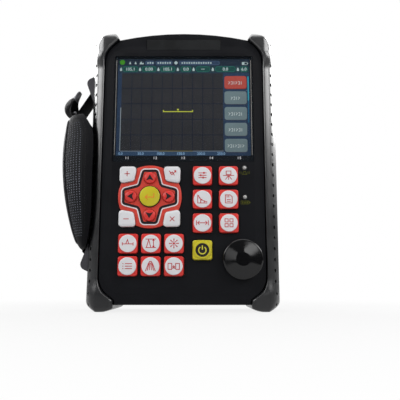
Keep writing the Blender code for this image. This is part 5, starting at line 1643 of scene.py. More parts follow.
@dataclass
class CursorPad:
    """The round red plate with its cross, the arrow keys, the corner keys and the enter key."""

    bench: Bench
    reach: float = 0.0226
    groove: float = 0.0012
    groove_out: float = 0.0004
    band: float = 0.0004
    groove_depth: float = 0.0009
    end_half: float = 0.0062
    root_half: float = 0.0096
    cross_round: float = 0.0028
    arrow_radius: float = 0.0050
    enter_radius: float = 0.0089
    corner_far: float = 0.0254
    corner_near: float = 0.0109
    corner_inner: float = 0.0132
    corner_round: float = 0.0029
    key_proud: float = 0.0030
    clear: float = 0.0003
    arrows: tuple[str, ...] = ("up_key", "left_key", "down_key", "right_key")

    def cross(self, grow: float) -> list[Point]:
        """Return the outline of the cross, its arms wider at their roots.

        Args:
            grow: How far its edges are moved out.

        Returns:
            The outline's points.
        """
        side = path(self.reach, -self.end_half, self.reach, self.end_half, self.root_half, self.root_half)
        corners = []
        for quarter in range(4):
            corners += turned_by(side, 90 * quarter)
        return rounded_polygon(corners, self.cross_round, 8, grow)

    def corner(self, grow: float, quarter: int = 0) -> list[Point]:
        """Return the outline of a corner key, the upper right one for quarter 0.

        Args:
            grow: How far its edges are moved out.
            quarter: The number of quarter turns.

        Returns:
            The outline's points.
        """
        far, near, inner = self.corner_far, self.corner_near, self.corner_inner
        corners = path(far, near, far, far, near, far, inner, inner)
        return turned_by(rounded_polygon(corners, self.corner_round, 10, grow), 90 * quarter)

    def build(self) -> None:
        """Build the plate, then the keys that stand in it."""
        low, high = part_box("cursor_plate")
        middle = self.bench.middle_of("cursor_plate")
        bench = Bench(self.bench.origin + Vector((middle.x, 0.0, middle.z)))
        radius = (high.x - low.x) / 2
        front, back = low.y - bench.origin.y, high.y - bench.origin.y
        self._plate(bench, radius, front, back)
        for quarter, name in enumerate(self.arrows):
            self._arrow(name, quarter)
        for quarter, sign in enumerate(CORNER_SIGNS):
            self._corner_key(bench, quarter, sign)
        self._enter(bench)

    def _plate(self, bench: Bench, radius: float, front: float, back: float) -> None:
        """Build the red plate with its holes and groove, the white outline and the groove's black floor.

        Args:
            bench: The bench about the middle of the plate.
            radius: The plate's radius.
            front: The depth of its face.
            back: The depth of its back.
        """
        form = Form()
        form.turn([(radius, back), (radius, front + 0.5 * MM), (radius - 0.15 * MM, front + 0.15 * MM),
                   (radius - 0.5 * MM, front)], 128)
        plate = bench.piece("cursor_face", form, [RED_PLATE], "root", "cursor", ["cursor_plate"])
        holes = Form()
        for quarter, name in enumerate(self.arrows):
            middle = self.bench.middle_of(name) + self.bench.origin - bench.origin
            hole = circle(self.arrow_radius + self.clear, 40, (middle.x, middle.z))
            holes.prism(hole, front - MM, back + MM)
            holes.prism(self.corner(self.clear, quarter), front - MM, back + MM)
        holes.prism(circle(self.enter_radius + self.clear, 56), front - MM, back + MM)
        bench.carve(plate, holes)
        groove = Form()
        sides = (self.cross(self.groove_out), self.cross(-self.groove))
        groove.frame(*sides, front - MM, front + self.groove_depth)
        bench.carve(plate, groove)
        bench.soften(plate, 0.12 * MM)
        line = Form()
        line.frame(self.cross(1.4 * MM), self.cross(0.48 * MM), front - 0.16 * MM, front + 0.1 * MM)
        bench.soften(bench.piece("cursor_outline", line, [WHITE], "root", "white_key"), 0.08 * MM)
        floor = Form()
        outer, inner = self.groove_out - 0.02 * MM, 0.02 * MM - self.groove
        bottom = front + self.groove_depth - 0.02 * MM
        floor.frame(self.cross(outer), self.cross(inner), front + 0.2 * MM, bottom)
        band = (self.cross(0.1 * MM - self.groove), self.cross(-self.groove - self.band))
        floor.frame(*band, front - 0.04 * MM, front + 0.3 * MM)
        bench.piece("cursor_groove_floor", floor, [BLACK_INK], "root", "cursor")

    def _dome(self, form: Form, outline: Callable[[float], list[Point]], back: float, top: float, edge: float,
              rise: float, spans: Sequence[float]) -> None:
        """Build a key with a rounded edge and a crowned top.

        Args:
            form: The form that it goes into.
            outline: Gives the key's outline moved out by a distance.
            back: The depth of its back.
            top: The depth of the top's edge.
            edge: The radius of the rounded edge.
            rise: How far the middle stands in front of the top's edge.
            spans: How far in each ring of the top lies.
        """
        rings = [[(x, back, z) for x, z in outline(0.0)]]
        for i in range(6):
            angle = math.radians(18 * i)
            y = top + edge * (1 - math.sin(angle))
            rings.append([(x, y, z) for x, z in outline(-edge * (1 - math.cos(angle)))])
        deepest = spans[-1]
        for span in spans:
            y = top - rise * math.sin(math.pi / 2 * span / deepest)
            rings.append([(x, y, z) for x, z in outline(-edge - span)])
        form.loft(rings)

    def _arch(self, away: float) -> float:
        """Return how high an arrow key's crown stands at a distance from its middle, 1 at its top."""
        share = (self.arrow_radius - 1.3 * MM - min(away, self.arrow_radius - 1.3 * MM)) / (3.2 * MM)
        return math.sin(math.pi / 2 * min(share, 1.0))

    def _arrow(self, name: str, quarter: int) -> None:
        """Build one domed arrow key and its arrowhead.

        Args:
            name: The key's node.
            quarter: Its number of quarter turns from the top.
        """
        middle = self.bench.middle_of(name)
        bench = Bench(self.bench.origin + Vector((middle.x, FACE_Y, middle.z)))
        _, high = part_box(name)
        form = Form()
        back = high.y - bench.origin.y
        self._dome(form, lambda grow: circle(self.arrow_radius + grow, 48), back, -self.key_proud,
                   1.3 * MM, 0.45 * MM, (0.4 * MM, 0.9 * MM, 1.6 * MM, 2.4 * MM, 3.2 * MM))
        bench.piece(name + "_cap", form, [RED], name, "red_key", [name])
        ink = Ink(lambda x, z: -self.key_proud - 0.45 * MM * self._arch(math.hypot(x, z)), 0.06 * MM,
                  0.2 * MM)
        head = [(0.0, 2.7 * MM), (-3.2 * MM, -2.5 * MM), (0.0, -1.4 * MM), (3.2 * MM, -2.5 * MM)]
        ink.area(turned_by(divided(head, 0.5 * MM), 90 * quarter), 6)
        bench.piece(name + "_sign", ink, [BLACK_INK], name, "red_key")

    def _corner_key(self, bench: Bench, quarter: int, sign: Sign) -> None:
        """Build one light corner key and its sign.

        Args:
            bench: The bench about the middle of the plate.
            quarter: Its number of quarter turns.
            sign: The sign that it carries, which names it.
        """
        name = sign.value
        _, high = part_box(name)
        form = Form()
        back, top = high.y - bench.origin.y, FACE_Y - self.key_proud
        self._dome(form, lambda grow: self.corner(grow, quarter), back, top, 0.9 * MM, 0.35 * MM,
                   (0.4 * MM, 0.9 * MM, 1.5 * MM))
        bench.piece(name + "_cap", form, [WHITE], name, "white_key", [name], 50.0)
        ink = Ink(lambda x, z: FACE_Y - self.key_proud - 0.35 * MM, 0.05 * MM, 0.05 * MM)
        spot = turned_by([(0.0190, 0.0190)], 90 * quarter)[0]
        sign.print_on(ink, spot, 0.65 * MM, 0.95)
        bench.piece(name + "_sign", ink, [RED_INK], name, "white_key")

    def _enter_face(self, x: float, z: float) -> float:
        """Return the depth of the enter key's face at a place."""
        share = min(math.hypot(x, z) / self.enter_radius, 1.0)
        return FACE_Y - self.key_proud - 0.5 * MM * (1 - share ** 2)

    def _enter(self, bench: Bench) -> None:
        """Build the yellow enter key with its dark ring and return sign.

        Args:
            bench: The bench about the middle of the plate.
        """
        _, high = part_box("enter_key")
        form = Form()
        radius = self.enter_radius - 0.45 * MM
        back, top = high.y - bench.origin.y, FACE_Y - self.key_proud
        self._dome(form, lambda grow: circle(radius + grow, 64), back, top, 0.7 * MM, 0.5 * MM,
                   (0.5 * MM, 1.4 * MM, 2.8 * MM, 4.6 * MM, 6.4 * MM))
        bench.piece("enter_key_cap", form, [YELLOW], "enter_key", "yellow_key", ["enter_key"])
        ring = Form()
        rims = (circle(self.enter_radius, 64), circle(self.enter_radius - 0.42 * MM, 64))
        ring.frame(*rims, FACE_Y - 2.3 * MM, FACE_Y + MM)
        bench.piece("enter_key_ring", ring, [BLACK_INK], "enter_key", "yellow_key")
        ink = Ink(self._enter_face, 0.06 * MM)
        Sign.RETURN.print_on(ink, (0.0, -0.2 * MM), 0.8 * MM, 1.0)
        bench.piece("enter_key_sign", ink, [ORANGE_INK], "enter_key", "yellow_key")


@dataclass
class JogKnob:
    """The glossy jog knob: a rounded rim, then a face that rises as a low cone to a flat middle."""

    bench: Bench
    bevel: float = 1.4 * MM
    crown: float = 0.7 * MM
    flat: float = 5.8 * MM
    steps: int = 128

    def build(self) -> None:
        """Build the knob and dress its shaft and encoder."""
        low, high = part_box("jog_knob")
        middle = (low + high) / 2
        bench = Bench(Vector((middle.x, 0.0, middle.z)))
        radius = (high.x - low.x) / 2
        top, back = low.y, high.y
        form = Form()
        profile = [(3.4 * MM, top + 5.5 * MM), (3.4 * MM, back), (radius - 0.6 * MM, back),
                   (radius, back - 0.6 * MM), (radius, top + self.crown + self.bevel)]
        for i in range(1, 7):
            angle = math.radians(15 * i)
            fall = self.crown + self.bevel * (1 - math.sin(angle))
            profile.append((radius - self.bevel * (1 - math.cos(angle)), top + fall))
        for share in (0.96, 0.75, 0.5, 0.25, 0.04):
            profile.append((self.flat + (radius - self.bevel - self.flat) * share, top + self.crown * share))
        profile += [(self.flat - 0.5 * MM, top), (self.flat * 0.1, top)]
        form.turn(profile, self.steps)
        bench.piece("jog_knob_cap", form, [GLOSS], "jog", "knob", ["jog_knob"], 50.0)
        self.bench.dress_node("jog_shaft", STEEL)
        self.bench.dress_node("jog_encoder", STEEL)


@dataclass
class Lamps:
    """The two small lamps with a plain sign under each."""

    bench: Bench
    height: float = 1.0 * MM
    lens_share: float = 0.72
    sign_drop: float = 4.6 * MM
    numbers_x: tuple[float, ...] = (-0.0473, -0.0235, 0.0002, 0.0240, 0.0477)

    def build(self) -> None:
        """Build both lamps, the bell and the cell under them, and the soft keys' numbers."""
        for name in ("alarm_lamp", "charge_lamp"):
            self._lens(name)
        self._signs()
        numbers = Ink(lambda x, z: FACE_Y)
        for i, x in enumerate(self.numbers_x):
            numbers.figures(str(i + 1), (x + 0.7 * MM, 0.1276), 2.2 * MM)
            numbers.stroke([(x - 1.2 * MM, 0.1266), (x - 1.2 * MM, 0.1286)], 0.45 * MM)
        self.bench.piece("soft_key_numbers", numbers, [WHITE_INK], "root", "plate")

    def _lens(self, name: str) -> None:
        """Build one lamp's lens in its dark ring.

        Args:
            name: The lamp's node.
        """
        low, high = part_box(name)
        middle = self.bench.middle_of(name)
        centre = (middle.x, middle.z)
        radius = (high.x - low.x) / 2
        lens = radius * self.lens_share
        rim = FACE_Y - 0.2 * MM
        profile = [(lens, high.y - self.bench.origin.y), (lens, rim)]
        for i in range(1, 8):
            angle = math.radians(12 * i)
            profile.append((lens * math.cos(angle), rim - self.height * 0.7 * math.sin(angle)))
        form = Form()
        form.turn(profile, 40, centre)
        form.finish = 1
        hole = lens + 0.02 * MM
        form.turn([(radius, FACE_Y + MM), (radius, FACE_Y - 0.1 * MM), (radius - 0.15 * MM, rim), (hole, rim),
                   (hole, FACE_Y + MM)], 40, centre, True)
        self.bench.piece(name + "_lens", form, [LENS, BLACK], "root", "lamp", [name])

    def _signs(self) -> None:
        """Print a ringing bell under the alarm lamp and a cell under the charge lamp."""
        ink = Ink(lambda x, z: FACE_Y)
        middle = self.bench.middle_of("alarm_lamp")
        x, z = middle.x, middle.z - self.sign_drop
        bell = path(-1.9, -1.0, -1.3, -0.4, -1.2, 0.6, -0.6, 1.5, 0.6, 1.5, 1.2, 0.6, 1.3, -0.4, 1.9, -1.0)
        ink.stroke([(x + px * MM, z + pz * MM) for px, pz in bell], 0.45 * MM, True)
        for side in (-1, 1):
            for wave in (path(2.6, -0.4, 3.0, 0.5, 2.7, 1.4), path(3.7, -0.7, 4.2, 0.5, 3.8, 1.7)):
                ink.stroke([(x + side * px * MM, z + pz * MM) for px, pz in wave], 0.4 * MM)
        middle = self.bench.middle_of("charge_lamp")
        x, z = middle.x, middle.z - self.sign_drop
        ink.stroke(rounded(3.4 * MM, 1.3 * MM, 0.4 * MM, (x, z), 4), 0.45 * MM, True)
        ink.area(rounded(0.4 * MM, 0.6 * MM, 0.1 * MM, (x + 4.1 * MM, z), 3))
        for i in range(3):
            ink.area(rounded(0.6 * MM, 0.7 * MM, 0.1 * MM, (x + (i - 1) * 1.9 * MM, z), 3))
        self.bench.piece("lamp_signs", ink, [OLIVE_INK], "root", "yellow_key")


# Top, back and inside


@dataclass
class Fittings:
    """The sockets on the top, the battery door and stand on the back, and the pieces inside."""

    bench: Bench
    shown: tuple[tuple[str, Finish], ...] = (
        ("keypad_board", BOARD), ("main_board", BOARD), ("pulser_shield", STEEL), ("buzzer", BLACK),
        ("battery_pack", SLEEVE), ("stand_pin", STEEL), ("data_socket", BLACK), ("charge_socket", BLACK),
        ("battery_door", CASE), ("tilt_stand", BLACK), ("upper_strap_lug", LUG), ("lower_strap_lug", LUG),
    )

    def build(self) -> None:
        """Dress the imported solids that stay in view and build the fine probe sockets."""
        for node, finish in self.shown:
            self.bench.dress_node(node, finish)
        for name in ("probe_socket_a", "probe_socket_b"):
            self._probe_socket(name)

    def _probe_socket(self, name: str) -> None:
        """Build a coaxial socket: flange, knurled body, insulator ring and centre contact.

        Args:
            name: The socket's node.
        """
        low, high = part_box(name)
        middle = (low + high) / 2
        bench = Bench(Vector((middle.x, middle.y, 0.0)))
        flange = (high.x - low.x) / 2
        top = high.z
        seat = top - 9.0 * MM
        body, bore = 5.6 * MM, 3.8 * MM
        form = Form()
        profile = [(body, low.z), (body, seat), (flange, seat), (flange, seat + 1.6 * MM),
                   (flange - 0.4 * MM, seat + 2.0 * MM), (body, seat + 2.0 * MM)]
        for i in range(6):
            z = seat + (2.4 + 0.7 * i) * MM
            profile += [(body, z), (body - 0.25 * MM, z + 0.25 * MM), (body, z + 0.5 * MM)]
        profile += [(body, top - 0.6 * MM), (body - 0.5 * MM, top), (bore, top), (bore, top - 8.5 * MM)]
        form.turn_up(profile, 64)
        bench.piece(name + "_shell", form, [STEEL], "root", "steel", [name])
        core = Form()
        core.turn_up([(2.1 * MM, top - 8.6 * MM), (2.1 * MM, top - 3.4 * MM), (1.8 * MM, top - 3.1 * MM),
                      (0.9 * MM, top - 3.1 * MM), (0.9 * MM, top - 5.0 * MM)], 40)
        bench.piece(name + "_insulator", core, [WHITE], "root", "white_key")
        pin = Form()
        pin.turn_up([(0.45 * MM, top - 5.2 * MM), (0.45 * MM, top - 2.6 * MM),
                     (0.2 * MM, top - 2.2 * MM)], 24)
        bench.piece(name + "_contact", pin, [BRASS], "root", "steel")


# Hand strap


@dataclass
class HandStrap:
    """The padded hand strap: pad with its woven zones and piping, webbing, curled tail and rivet."""

    bench: Bench
    strap_y: float = -0.0030
    low_z: float = 0.0515
    high_z: float = 0.1700
    half_y: float = 0.0330
    end_half: float = 0.0130
    low_reach: float = 0.0882
    high_reach: float = 0.1020
    bow: float = 0.0110
    bow_power: float = 0.70
    edge: float = 0.0755
    high_edge: float = 0.0885
    thick: float = 0.0060
    tuck_from: float = 0.82
    tuck_power: float = 1.3
    blend_power: float = 60.0
    clear: float = 0.0015
    end_wall: float = 0.85
    panel_half: float = 0.0690
    half_width: float = 0.082
    band_proud: float = 0.0009
    power: float = 2.1
    bar_x: float = 0.0811
    bar_z: Point = (0.1900, 0.0478)
    bar_radius: float = 0.0016
    web_thick: float = 0.0016
    web_half: float = 0.0122
    web_inset: float = 0.0026
    tail_reach: float = 0.1095
    tail_start: float = 0.0962
    tail_curl: float = 0.0085
    tail_tip: float = 0.0145
    tail_thick: float = 0.0024
    tail_half: float = 0.0130
    tail_cup: float = 0.0078
    weave_share: float = 0.84
    weave_pitch: float = 0.0021
    weave_dot: float = 0.00062
    weave_columns: tuple[float, ...] = (0.47, 0.535, 0.60, 0.665, 0.73, 0.795)
    cloth_across: Point = (0.44, 0.84)
    cloth_along: Point = (0.10, 0.94)
    seams: Point = (0.40, 0.86)
    piping_at: float = 0.34
    stitches_at: float = 0.90
    stitch_count: int = 46
    lengths: int = 64
    rounds: int = 64

    def build(self) -> None:
        """Build the strap's pieces from the bumper outwards."""
        self._pad()
        self._piping()
        self._weave()
        self._stitches()
        self._webbing()
        self._tail()

    def band_x(self, y: float) -> float:
        """Return how far out the bumper's band reaches at a depth, or 0 in front of it and behind it.

        Args:
            y: The depth.

        Returns:
            The distance from the middle of the case.
        """
        share = abs(y - PARTING_Y) / (PARTING_Y - FACE_Y + self.band_proud)
        if share >= 1:
            return 0.0
        flat_end = self.panel_half + self.band_proud
        return flat_end + (self.half_width - flat_end) * (1 - share ** self.power) ** (1 / self.power)

    def section(self, share: float) -> tuple[float, float, float, float, float, float]:
        """Return (z, half width, thickness, edge, depth, crown) of the pad at a share of its length.

        Args:
            share: The share of the pad's length, from its low end.

        Returns:
            The six measures.
        """
        rise = 4 * share * (1 - share)
        z = self.low_z + (self.high_z - self.low_z) * share
        half_y = self.end_half + (self.half_y - self.end_half) * rise ** 0.3
        thick = min(self.thick, 0.16 * half_y + 0.0005)
        tuck = max((share - self.tuck_from) / (1 - self.tuck_from), 0.0) ** self.tuck_power
        edge = self.edge + (self.high_edge - self.edge) * tuck
        inner_half = half_y - thick * 0.5 - abs(self.strap_y - PARTING_Y)
        band = self.band_x(PARTING_Y + inner_half) + self.clear
        edge = (edge ** self.blend_power + band ** self.blend_power) ** (1 / self.blend_power)
        reach = self.low_reach + (self.high_reach - self.low_reach) * share
        reach += self.bow * rise ** self.bow_power
        depth = reach - edge
        closed = max(1 - 7 * min(share, 1 - share), 0.0)
        crown = min(thick, depth * 0.6)
        return z, half_y, thick, edge, depth, crown + (depth * self.end_wall - crown) * closed

    def spot(self, share: float, across: float, lift: float = 0.0) -> Vector:
        """Return a point of the pad's outer face.

        Args:
            share: The share of the pad's length, from its low end.
            across: The place across it, from -1 at the front edge to 1 at the back edge.
            lift: How far the point stands off the face.

        Returns:
            The point in the device's frame.
        """
        z, half_y, _, edge, depth, _ = self.section(share)
        angle = math.pi / 2 * across
        bulge = max(math.cos(angle), 0.0) ** 0.9
        x, y = -edge - depth * bulge, half_y * math.sin(angle)
        outward = Vector((-math.cos(angle) * half_y, math.sin(angle) * depth)).normalized()
        return Vector((x + outward.x * lift, self.strap_y + y + outward.y * lift, z))

    def relief(self, share: float, across: float) -> float:
        """Return how far the padding stands off the pad's plain section.

        Args:
            share: The share of the pad's length, from its low end.
            across: The place across it, from -1 to 1.

        Returns:
            The height of the padding, below 0 where it is drawn in.
        """
        side = abs(across)
        fill = min(share, 1 - share) * 12
        centre = 0.7 * MM * max(1 - (side / 0.32) ** 4, 0.0)
        cloth = -0.35 * MM * math.exp(-((side - 0.64) / 0.19) ** 4)
        seam = -0.5 * MM * sum(math.exp(-((side - place) / 0.02) ** 2) for place in self.seams)
        return (centre + cloth + seam) * min(fill, 1.0)

    def _pad(self) -> None:
        """Build the pad's skin: its outer face, and its back round the hand."""
        form = Form()
        loops = []
        shares = [0.5 - 0.5 * math.cos(math.pi * i / self.lengths) for i in range(self.lengths + 1)]
        for share in shares:
            z, half_y, thick, edge, depth, crown = self.section(share)
            ring = []
            for j in range(self.rounds + 1):
                across = 2 * j / self.rounds - 1
                ring.append(form.bm.verts.new(self.spot(share, across, self.relief(share, across))))
            for j in range(self.rounds, -1, -1):
                angle = math.pi * (j / self.rounds - 0.5)
                bulge = max(math.cos(angle), 0.0) ** 0.9
                wall = crown * (0.5 + 0.5 * math.cos(angle))
                y = self.strap_y + (half_y - thick * 0.4) * math.sin(angle)
                ring.append(form.bm.verts.new((-edge - depth * bulge + wall * bulge, y, z)))
            loops.append(ring)
        for i, (lower, upper) in enumerate(zip(loops, loops[1:])):
            share = (shares[i] + shares[i + 1]) / 2
            for j, vertex in enumerate(lower):
                k = (j + 1) % len(lower)
                face = form.bm.faces.new((vertex, lower[k], upper[k], upper[j]))
                across = abs(2 * (j + 0.5) / self.rounds - 1)
                cloth = (self.cloth_across[0] < across < self.cloth_across[1]
                         and self.cloth_along[0] < share < self.cloth_along[1])
                face.material_index = int(j < self.rounds and cloth)
        form.bm.faces.new(loops[0][::-1])
        form.bm.faces.new(loops[-1])
        pad = self.bench.piece("strap_pad_cover", form, [LEATHER, MESH_CLOTH], "root", "leather",
                               ["strap_pad"], 50.0)

    def _piping(self) -> None:
        """Build the two lines of piping beside the pad's middle."""
        for name, across in (("front", -self.piping_at), ("back", self.piping_at)):
            piping = Form()
            route = [self.spot(0.04 + 0.92 * i / 60, across, 0.35 * MM) for i in range(61)]
            piping.tube(route, 0.75 * MM)
            self.bench.piece(f"strap_piping_{name}", piping, [PIPING], "root", "leather")

    def _weave(self) -> None:
        """Build the knots that stand off the two zones of woven cloth."""
        dots = Form()
        rows = round((self.high_z - self.low_z) * self.weave_share / self.weave_pitch)
        for i in range(rows):
            share = 0.5 + self.weave_share * ((i + 0.5) / rows - 0.5)
            for across in (side * column for side in (-1, 1) for column in self.weave_columns):
                spot = self.spot(share, across, self.relief(share, across))
                outward = (self.spot(share, across, MM) - self.spot(share, across)).normalized()
                radius = self.weave_dot * (1 - 0.5 * abs(2 * share - 1))
                knot = path(radius, -0.2 * MM, radius, 0.1 * MM, radius * 0.6, 0.25 * MM)
                dots.cone(spot, outward, knot, 6)
        self.bench.piece("strap_weave_dots", dots, [DOTS], "root", "leather")

    def _stitches(self) -> None:
        """Build the stitches along both edges of the pad."""
        stitches = Form()
        first, last = self.cloth_along
        for across in (-self.stitches_at, self.stitches_at):
            for i in range(self.stitch_count):
                share = first + (last - first) * i / self.stitch_count
                lifts = [0.12 * MM * math.sin(math.pi * k / 4) for k in range(5)]
                run = [self.spot(share + 0.010 * k / 4, across, lift) for k, lift in enumerate(lifts)]
                stitches.tube(run, 0.22 * MM, 6)
        self.bench.piece("strap_stitches", stitches, [THREAD], "root", "leather")

    def _strip(self, form: Form, route: Sequence[Point], half_width: float, thick: float,
               tips: Sequence[float] | None = None, cups: Sequence[float] | None = None,
               split: int = -1) -> None:
        """Lay a strip with rounded edges along a route of (x, z), its width running in depth.

        Args:
            form: The form that it goes into.
            route: The strip's middle line.
            half_width: Half its width.
            thick: Its thickness.
            tips: The share of the width at each point, or None for all of it.
            cups: How far the edges bend inwards at each point, or None for a flat strip.
            split: From this point of the route on, the strip takes the form's second finish.
        """
        loops = []
        last = len(route) - 1
        for i, (x, z) in enumerate(route):
            ahead = Vector(route[min(i + 1, last)]) - Vector(route[max(i - 1, 0)])
            normal = Vector((-ahead.y, ahead.x)).normalized()
            half = half_width * (tips[i] if tips else 1.0)
            ring = []
            for turn in (math.pi * (j + 0.5) / 16 for j in range(32)):
                along = math.cos(turn)
                up = math.copysign(abs(math.sin(turn)) ** 0.4, math.sin(turn)) * thick / 2
                up -= cups[i] * along * along if cups else 0.0
                ring.append((x + normal.x * up, self.strap_y + half * along, z + normal.y * up))
            loops.append(ring)
        if split < 0:
            form.loft(loops)
            return
        start = len(form.bm.faces)
        form.loft(loops)
        form.bm.faces.ensure_lookup_table()
        sides = len(loops[0])
        for face in form.bm.faces[start + sides * split:]:
            face.material_index = 1
        form.bm.faces[start + sides * last].material_index = 0

    def _webbing(self) -> None:
        """Build the two webbings that loop round the lugs' bars."""
        reach = self.bar_radius + self.clear / 5 + self.web_thick / 2
        high_x = -self.tail_start + self.web_thick / 2 + 0.3 * MM
        low_x = self.web_inset - self.low_reach
        ends = (("upper_webbing", self.bar_z[0], 1, high_x, self.high_z + 0.3 * MM),
                ("lower_webbing", self.bar_z[1], -1, low_x, self.low_z - 0.3 * MM))
        for name, bar_z, way, x, z in ends:
            route = [(-self.bar_x + reach, bar_z - way * 8 * MM), (-self.bar_x + reach, bar_z - way * 4 * MM)]
            route += [(px, bar_z + way * up) for px, up in arc((-self.bar_x, 0.0), reach, 0, 180, 14)]
            start = route[-1]
            end = (x, z + way * self.web_thick)
            route += [tuple(Vector(start).lerp(Vector(end), i / 5)) for i in range(1, 6)] + [(x, z)]
            form = Form()
            self._strip(form, route, self.web_half, self.web_thick)
            self.bench.piece(name + "_band", form, [WEBBING], "root", "webbing", [name], 50.0)

    def _tail(self) -> None:
        """Build the curled leather tail, whose tip is painted lighter as a highlight, and the rivet that
        holds it.
        """
        base_z = self.high_z + 0.3 * MM + self.tail_thick / 2
        centre = (-self.tail_reach + self.tail_thick / 2 + self.tail_curl, base_z + self.tail_curl)
        curl = arc(centre, self.tail_curl, 270, 135, 18)
        slope = math.sqrt(0.5)
        widths = (0.97, 0.82, 0.60, 0.47, 0.43, 0.41, 0.39, 0.36, 0.30, 0.18)
        reach = [self.tail_tip * slope * (i + 1) / len(widths) for i in range(len(widths))]
        end_x, end_z = curl[-1]
        route = [(-self.tail_start, base_z)] + curl + [(end_x + far, end_z + far) for far in reach]
        tips = [1.0] * (len(curl) + 1) + list(widths)
        form = Form()
        bends = [math.sin(math.radians(15 * min(i, 6))) for i in range(len(curl))]
        cups = [0.0] + [self.tail_cup * bend for bend in bends]
        cups += [self.tail_cup * (1 - (i + 1) / len(widths)) ** 1.6 for i in range(len(widths))]
        self._strip(form, route, self.tail_half, self.tail_thick, tips, cups, len(curl) + 4)
        # the strip's end past the curl takes the painted highlight
        self.bench.piece("strap_tail_hook", form, [LEATHER, TAIL_TIP_HIGHLIGHT], "root", "leather",
                         ["strap_tail"], 50.0)
        low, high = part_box("strap_rivet")
        middle = (low + high) / 2
        bench = Bench(Vector((middle.x, middle.y, 0.0)))
        radius = (high.x - low.x) / 2
        rivet = Form()
        foot = low.z + 0.5 * MM
        profile = [(radius, low.z), (radius, foot)]
        for i in range(1, 7):
            angle = math.radians(14 * i)
            profile.append((radius * math.cos(angle), foot + (high.z - foot) * math.sin(angle)))
        rivet.turn_up(profile, 40)
        bench.piece("strap_rivet_head", rivet, [RIVET], "root", "steel", ["strap_rivet"])


# Studio


@dataclass(frozen=True)
class Softbox:
    """A rectangular lamp that faces the middle of the device."""

    name: str
    place: tuple[float, float, float]
    size: Point
    power: float


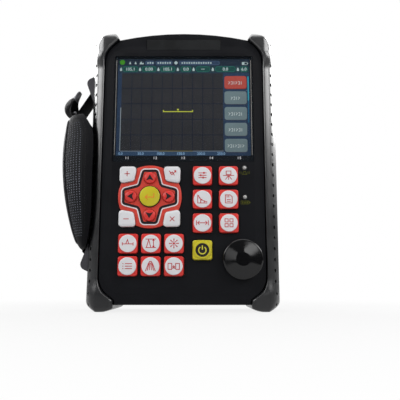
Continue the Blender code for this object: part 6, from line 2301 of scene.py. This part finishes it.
@dataclass
class Studio:
    """The pale floor, the lamps, the surroundings and the camera."""

    bench: Bench
    lens: float = 45.18
    sensor: float = 36.0
    camera_at: tuple[float, float, float] = (0.01427, -0.4432, 0.02234)
    pitch: float = 9.5
    floor_size: float = 6.0
    target: tuple[float, float, float] = (0.0, 0.0, 0.12)
    top: Softbox = Softbox("top_softbox", (0.0, -0.1, 2.3), (2.2, 2.2), 30.0)
    sides: tuple[Softbox, ...] = (
        Softbox("front_softbox", (1.31817, -0.88912, 0.97), (1.6, 0.62), 20.5),
        Softbox("back_softbox", (1.22162, 0.88756, 1.10), (1.6, 1.00), 29.0),
    )
    glints: tuple[Softbox, ...] = (
        Softbox("left_glint", (-0.03, -1.5, 0.20), (0.14, 0.20), 0.18),
        Softbox("right_glint", (0.33, -1.5, 0.30), (0.22, 0.17), 0.62),
    )

    def build(self) -> None:
        """Build the studio round the device."""
        self._camera()
        self._floor()
        self._world()
        self._lamp(self.top)
        for side, name in ((-1, "left"), (1, "right")):
            for box in self.sides:
                x, y, z = box.place
                self._lamp(replace(box, name=f"{name}_{box.name}", place=(side * x, y, z)))
        for glint in self.glints:
            self._lamp(glint)
        bpy.context.scene.view_settings.view_transform = "Standard"

    def _camera(self) -> None:
        """Place the camera where the photograph was taken from."""
        data = bpy.data.cameras.new("camera")
        data.lens = self.lens
        data.sensor_width = self.sensor
        data.clip_start = 0.01
        camera = bpy.data.objects.new("camera", data)
        camera.location = self.bench.origin + Vector(self.camera_at)
        camera.rotation_euler = (math.radians(90 + self.pitch), 0.0, 0.0)
        bpy.context.scene.collection.objects.link(camera)
        bpy.context.scene.camera = camera

    def _lamp(self, box: Softbox) -> None:
        """Hang one lamp.

        Args:
            box: The lamp.
        """
        data = bpy.data.lights.new(box.name, "AREA")
        data.shape = "RECTANGLE"
        data.size, data.size_y = box.size
        data.energy = box.power
        lamp = bpy.data.objects.new(box.name, data)
        lamp.location = box.place
        aim = Vector(self.target) - Vector(box.place)
        lamp.rotation_euler = aim.to_track_quat("-Z", "Y").to_euler()
        bpy.context.scene.collection.objects.link(lamp)

    def _floor(self) -> None:
        """Lay the white floor, which keeps a soft shadow."""
        mesh = bpy.data.meshes.new("floor")
        half = self.floor_size / 2
        corners = [(x, z, 0.0) for x, z in path(-half, -half, half, -half, half, half, -half, half)]
        mesh.from_pydata(corners, [], [(0, 1, 2, 3)])
        floor = bpy.data.objects.new("floor", mesh)
        bpy.context.scene.collection.objects.link(floor)
        floor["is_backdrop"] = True
        paint = Paint(bpy.data.materials.new("studio_floor"))
        paint.set(Base_Color=srgb(150, 150, 150), Roughness=0.8)
        seen = self._seen(paint)
        white = paint.node("ShaderNodeEmission", {}, {"Color": (1.0, 1.0, 1.0), "Strength": 1.0})
        white_share = seen * paint.away().within(0.12, 0.40, 0.84, 1.0)
        plain = Sock(paint, paint.shader.outputs[0])
        both = paint.node("ShaderNodeMixShader", {}, {0: white_share, 1: plain, 2: white})
        paint.feed(paint.tree.nodes["Material Output"].inputs["Surface"], both)
        mesh.materials.append(paint.owner)

    @staticmethod
    def _seen(paint: Paint) -> Sock:
        """Return 1 for what the camera, gloss and glass see, and 0 for what lights the object.

        Args:
            paint: The node tree.

        Returns:
            The mask.
        """
        rays = [paint.node("ShaderNodeLightPath", {}, {}, name)
                for name in ("Is Camera Ray", "Is Glossy Ray", "Is Transmission Ray")]
        return (rays[0] + rays[1] + rays[2]).within(0.0, 1.0)

    def _world(self) -> None:
        """Surround the device with white for the camera and a gentler light for the rest."""
        world = bpy.data.worlds.new("studio")
        bpy.context.scene.world = world
        paint = Paint(world)
        paint.tree.nodes.clear()
        camera = paint.node("ShaderNodeLightPath", {}, {}, "Is Camera Ray")
        glass = paint.node("ShaderNodeLightPath", {}, {}, "Is Transmission Ray")
        gloss = paint.node("ShaderNodeLightPath", {}, {}, "Is Glossy Ray")
        way = paint.node("ShaderNodeTexCoord", {}, {}, "Generated")
        sheen = gloss * way.part("Z").within(0.06, 0.36, 0.12, 1.0)
        sheen = sheen * way.part("Y").within(-0.95, -0.55, 0.3, 1.0)
        strength = (camera + glass).within(0.0, 1.0, 0.08, 1.0)
        lit = paint.node("ShaderNodeMath", {"operation": "MAXIMUM"}, {0: strength, 1: sheen})
        back = paint.node("ShaderNodeBackground", {}, {"Color": (1.0, 1.0, 1.0), "Strength": lit})
        out = paint.tree.nodes.new("ShaderNodeOutputWorld")
        paint.feed(out.inputs["Surface"], back)


def main() -> None:
    """Build every sub-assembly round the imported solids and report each."""
    logging.basicConfig(level=logging.INFO, format="%(message)s")
    bench = Bench.at_case()
    others = (*CORNER_SIGNS, Sign.RETURN)
    parts = [
        Studio(bench), Housing(bench), Bumper(bench, "left_bumper", -1), Bumper(bench, "right_bumper", 1),
        Screen(bench), *(SquareKey(bench, sign.value, sign) for sign in Sign if sign not in others),
        SquareKey(bench, "power_key", None, YELLOW), CursorPad(bench), JogKnob(bench), Lamps(bench),
        Fittings(bench), HandStrap(bench),
    ]
    for part in parts:
        before = len(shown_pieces())
        part.build()
        LOG.info("%s: %d pieces more", type(part).__name__, len(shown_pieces()) - before)


if __name__ == "__main__":
    main()
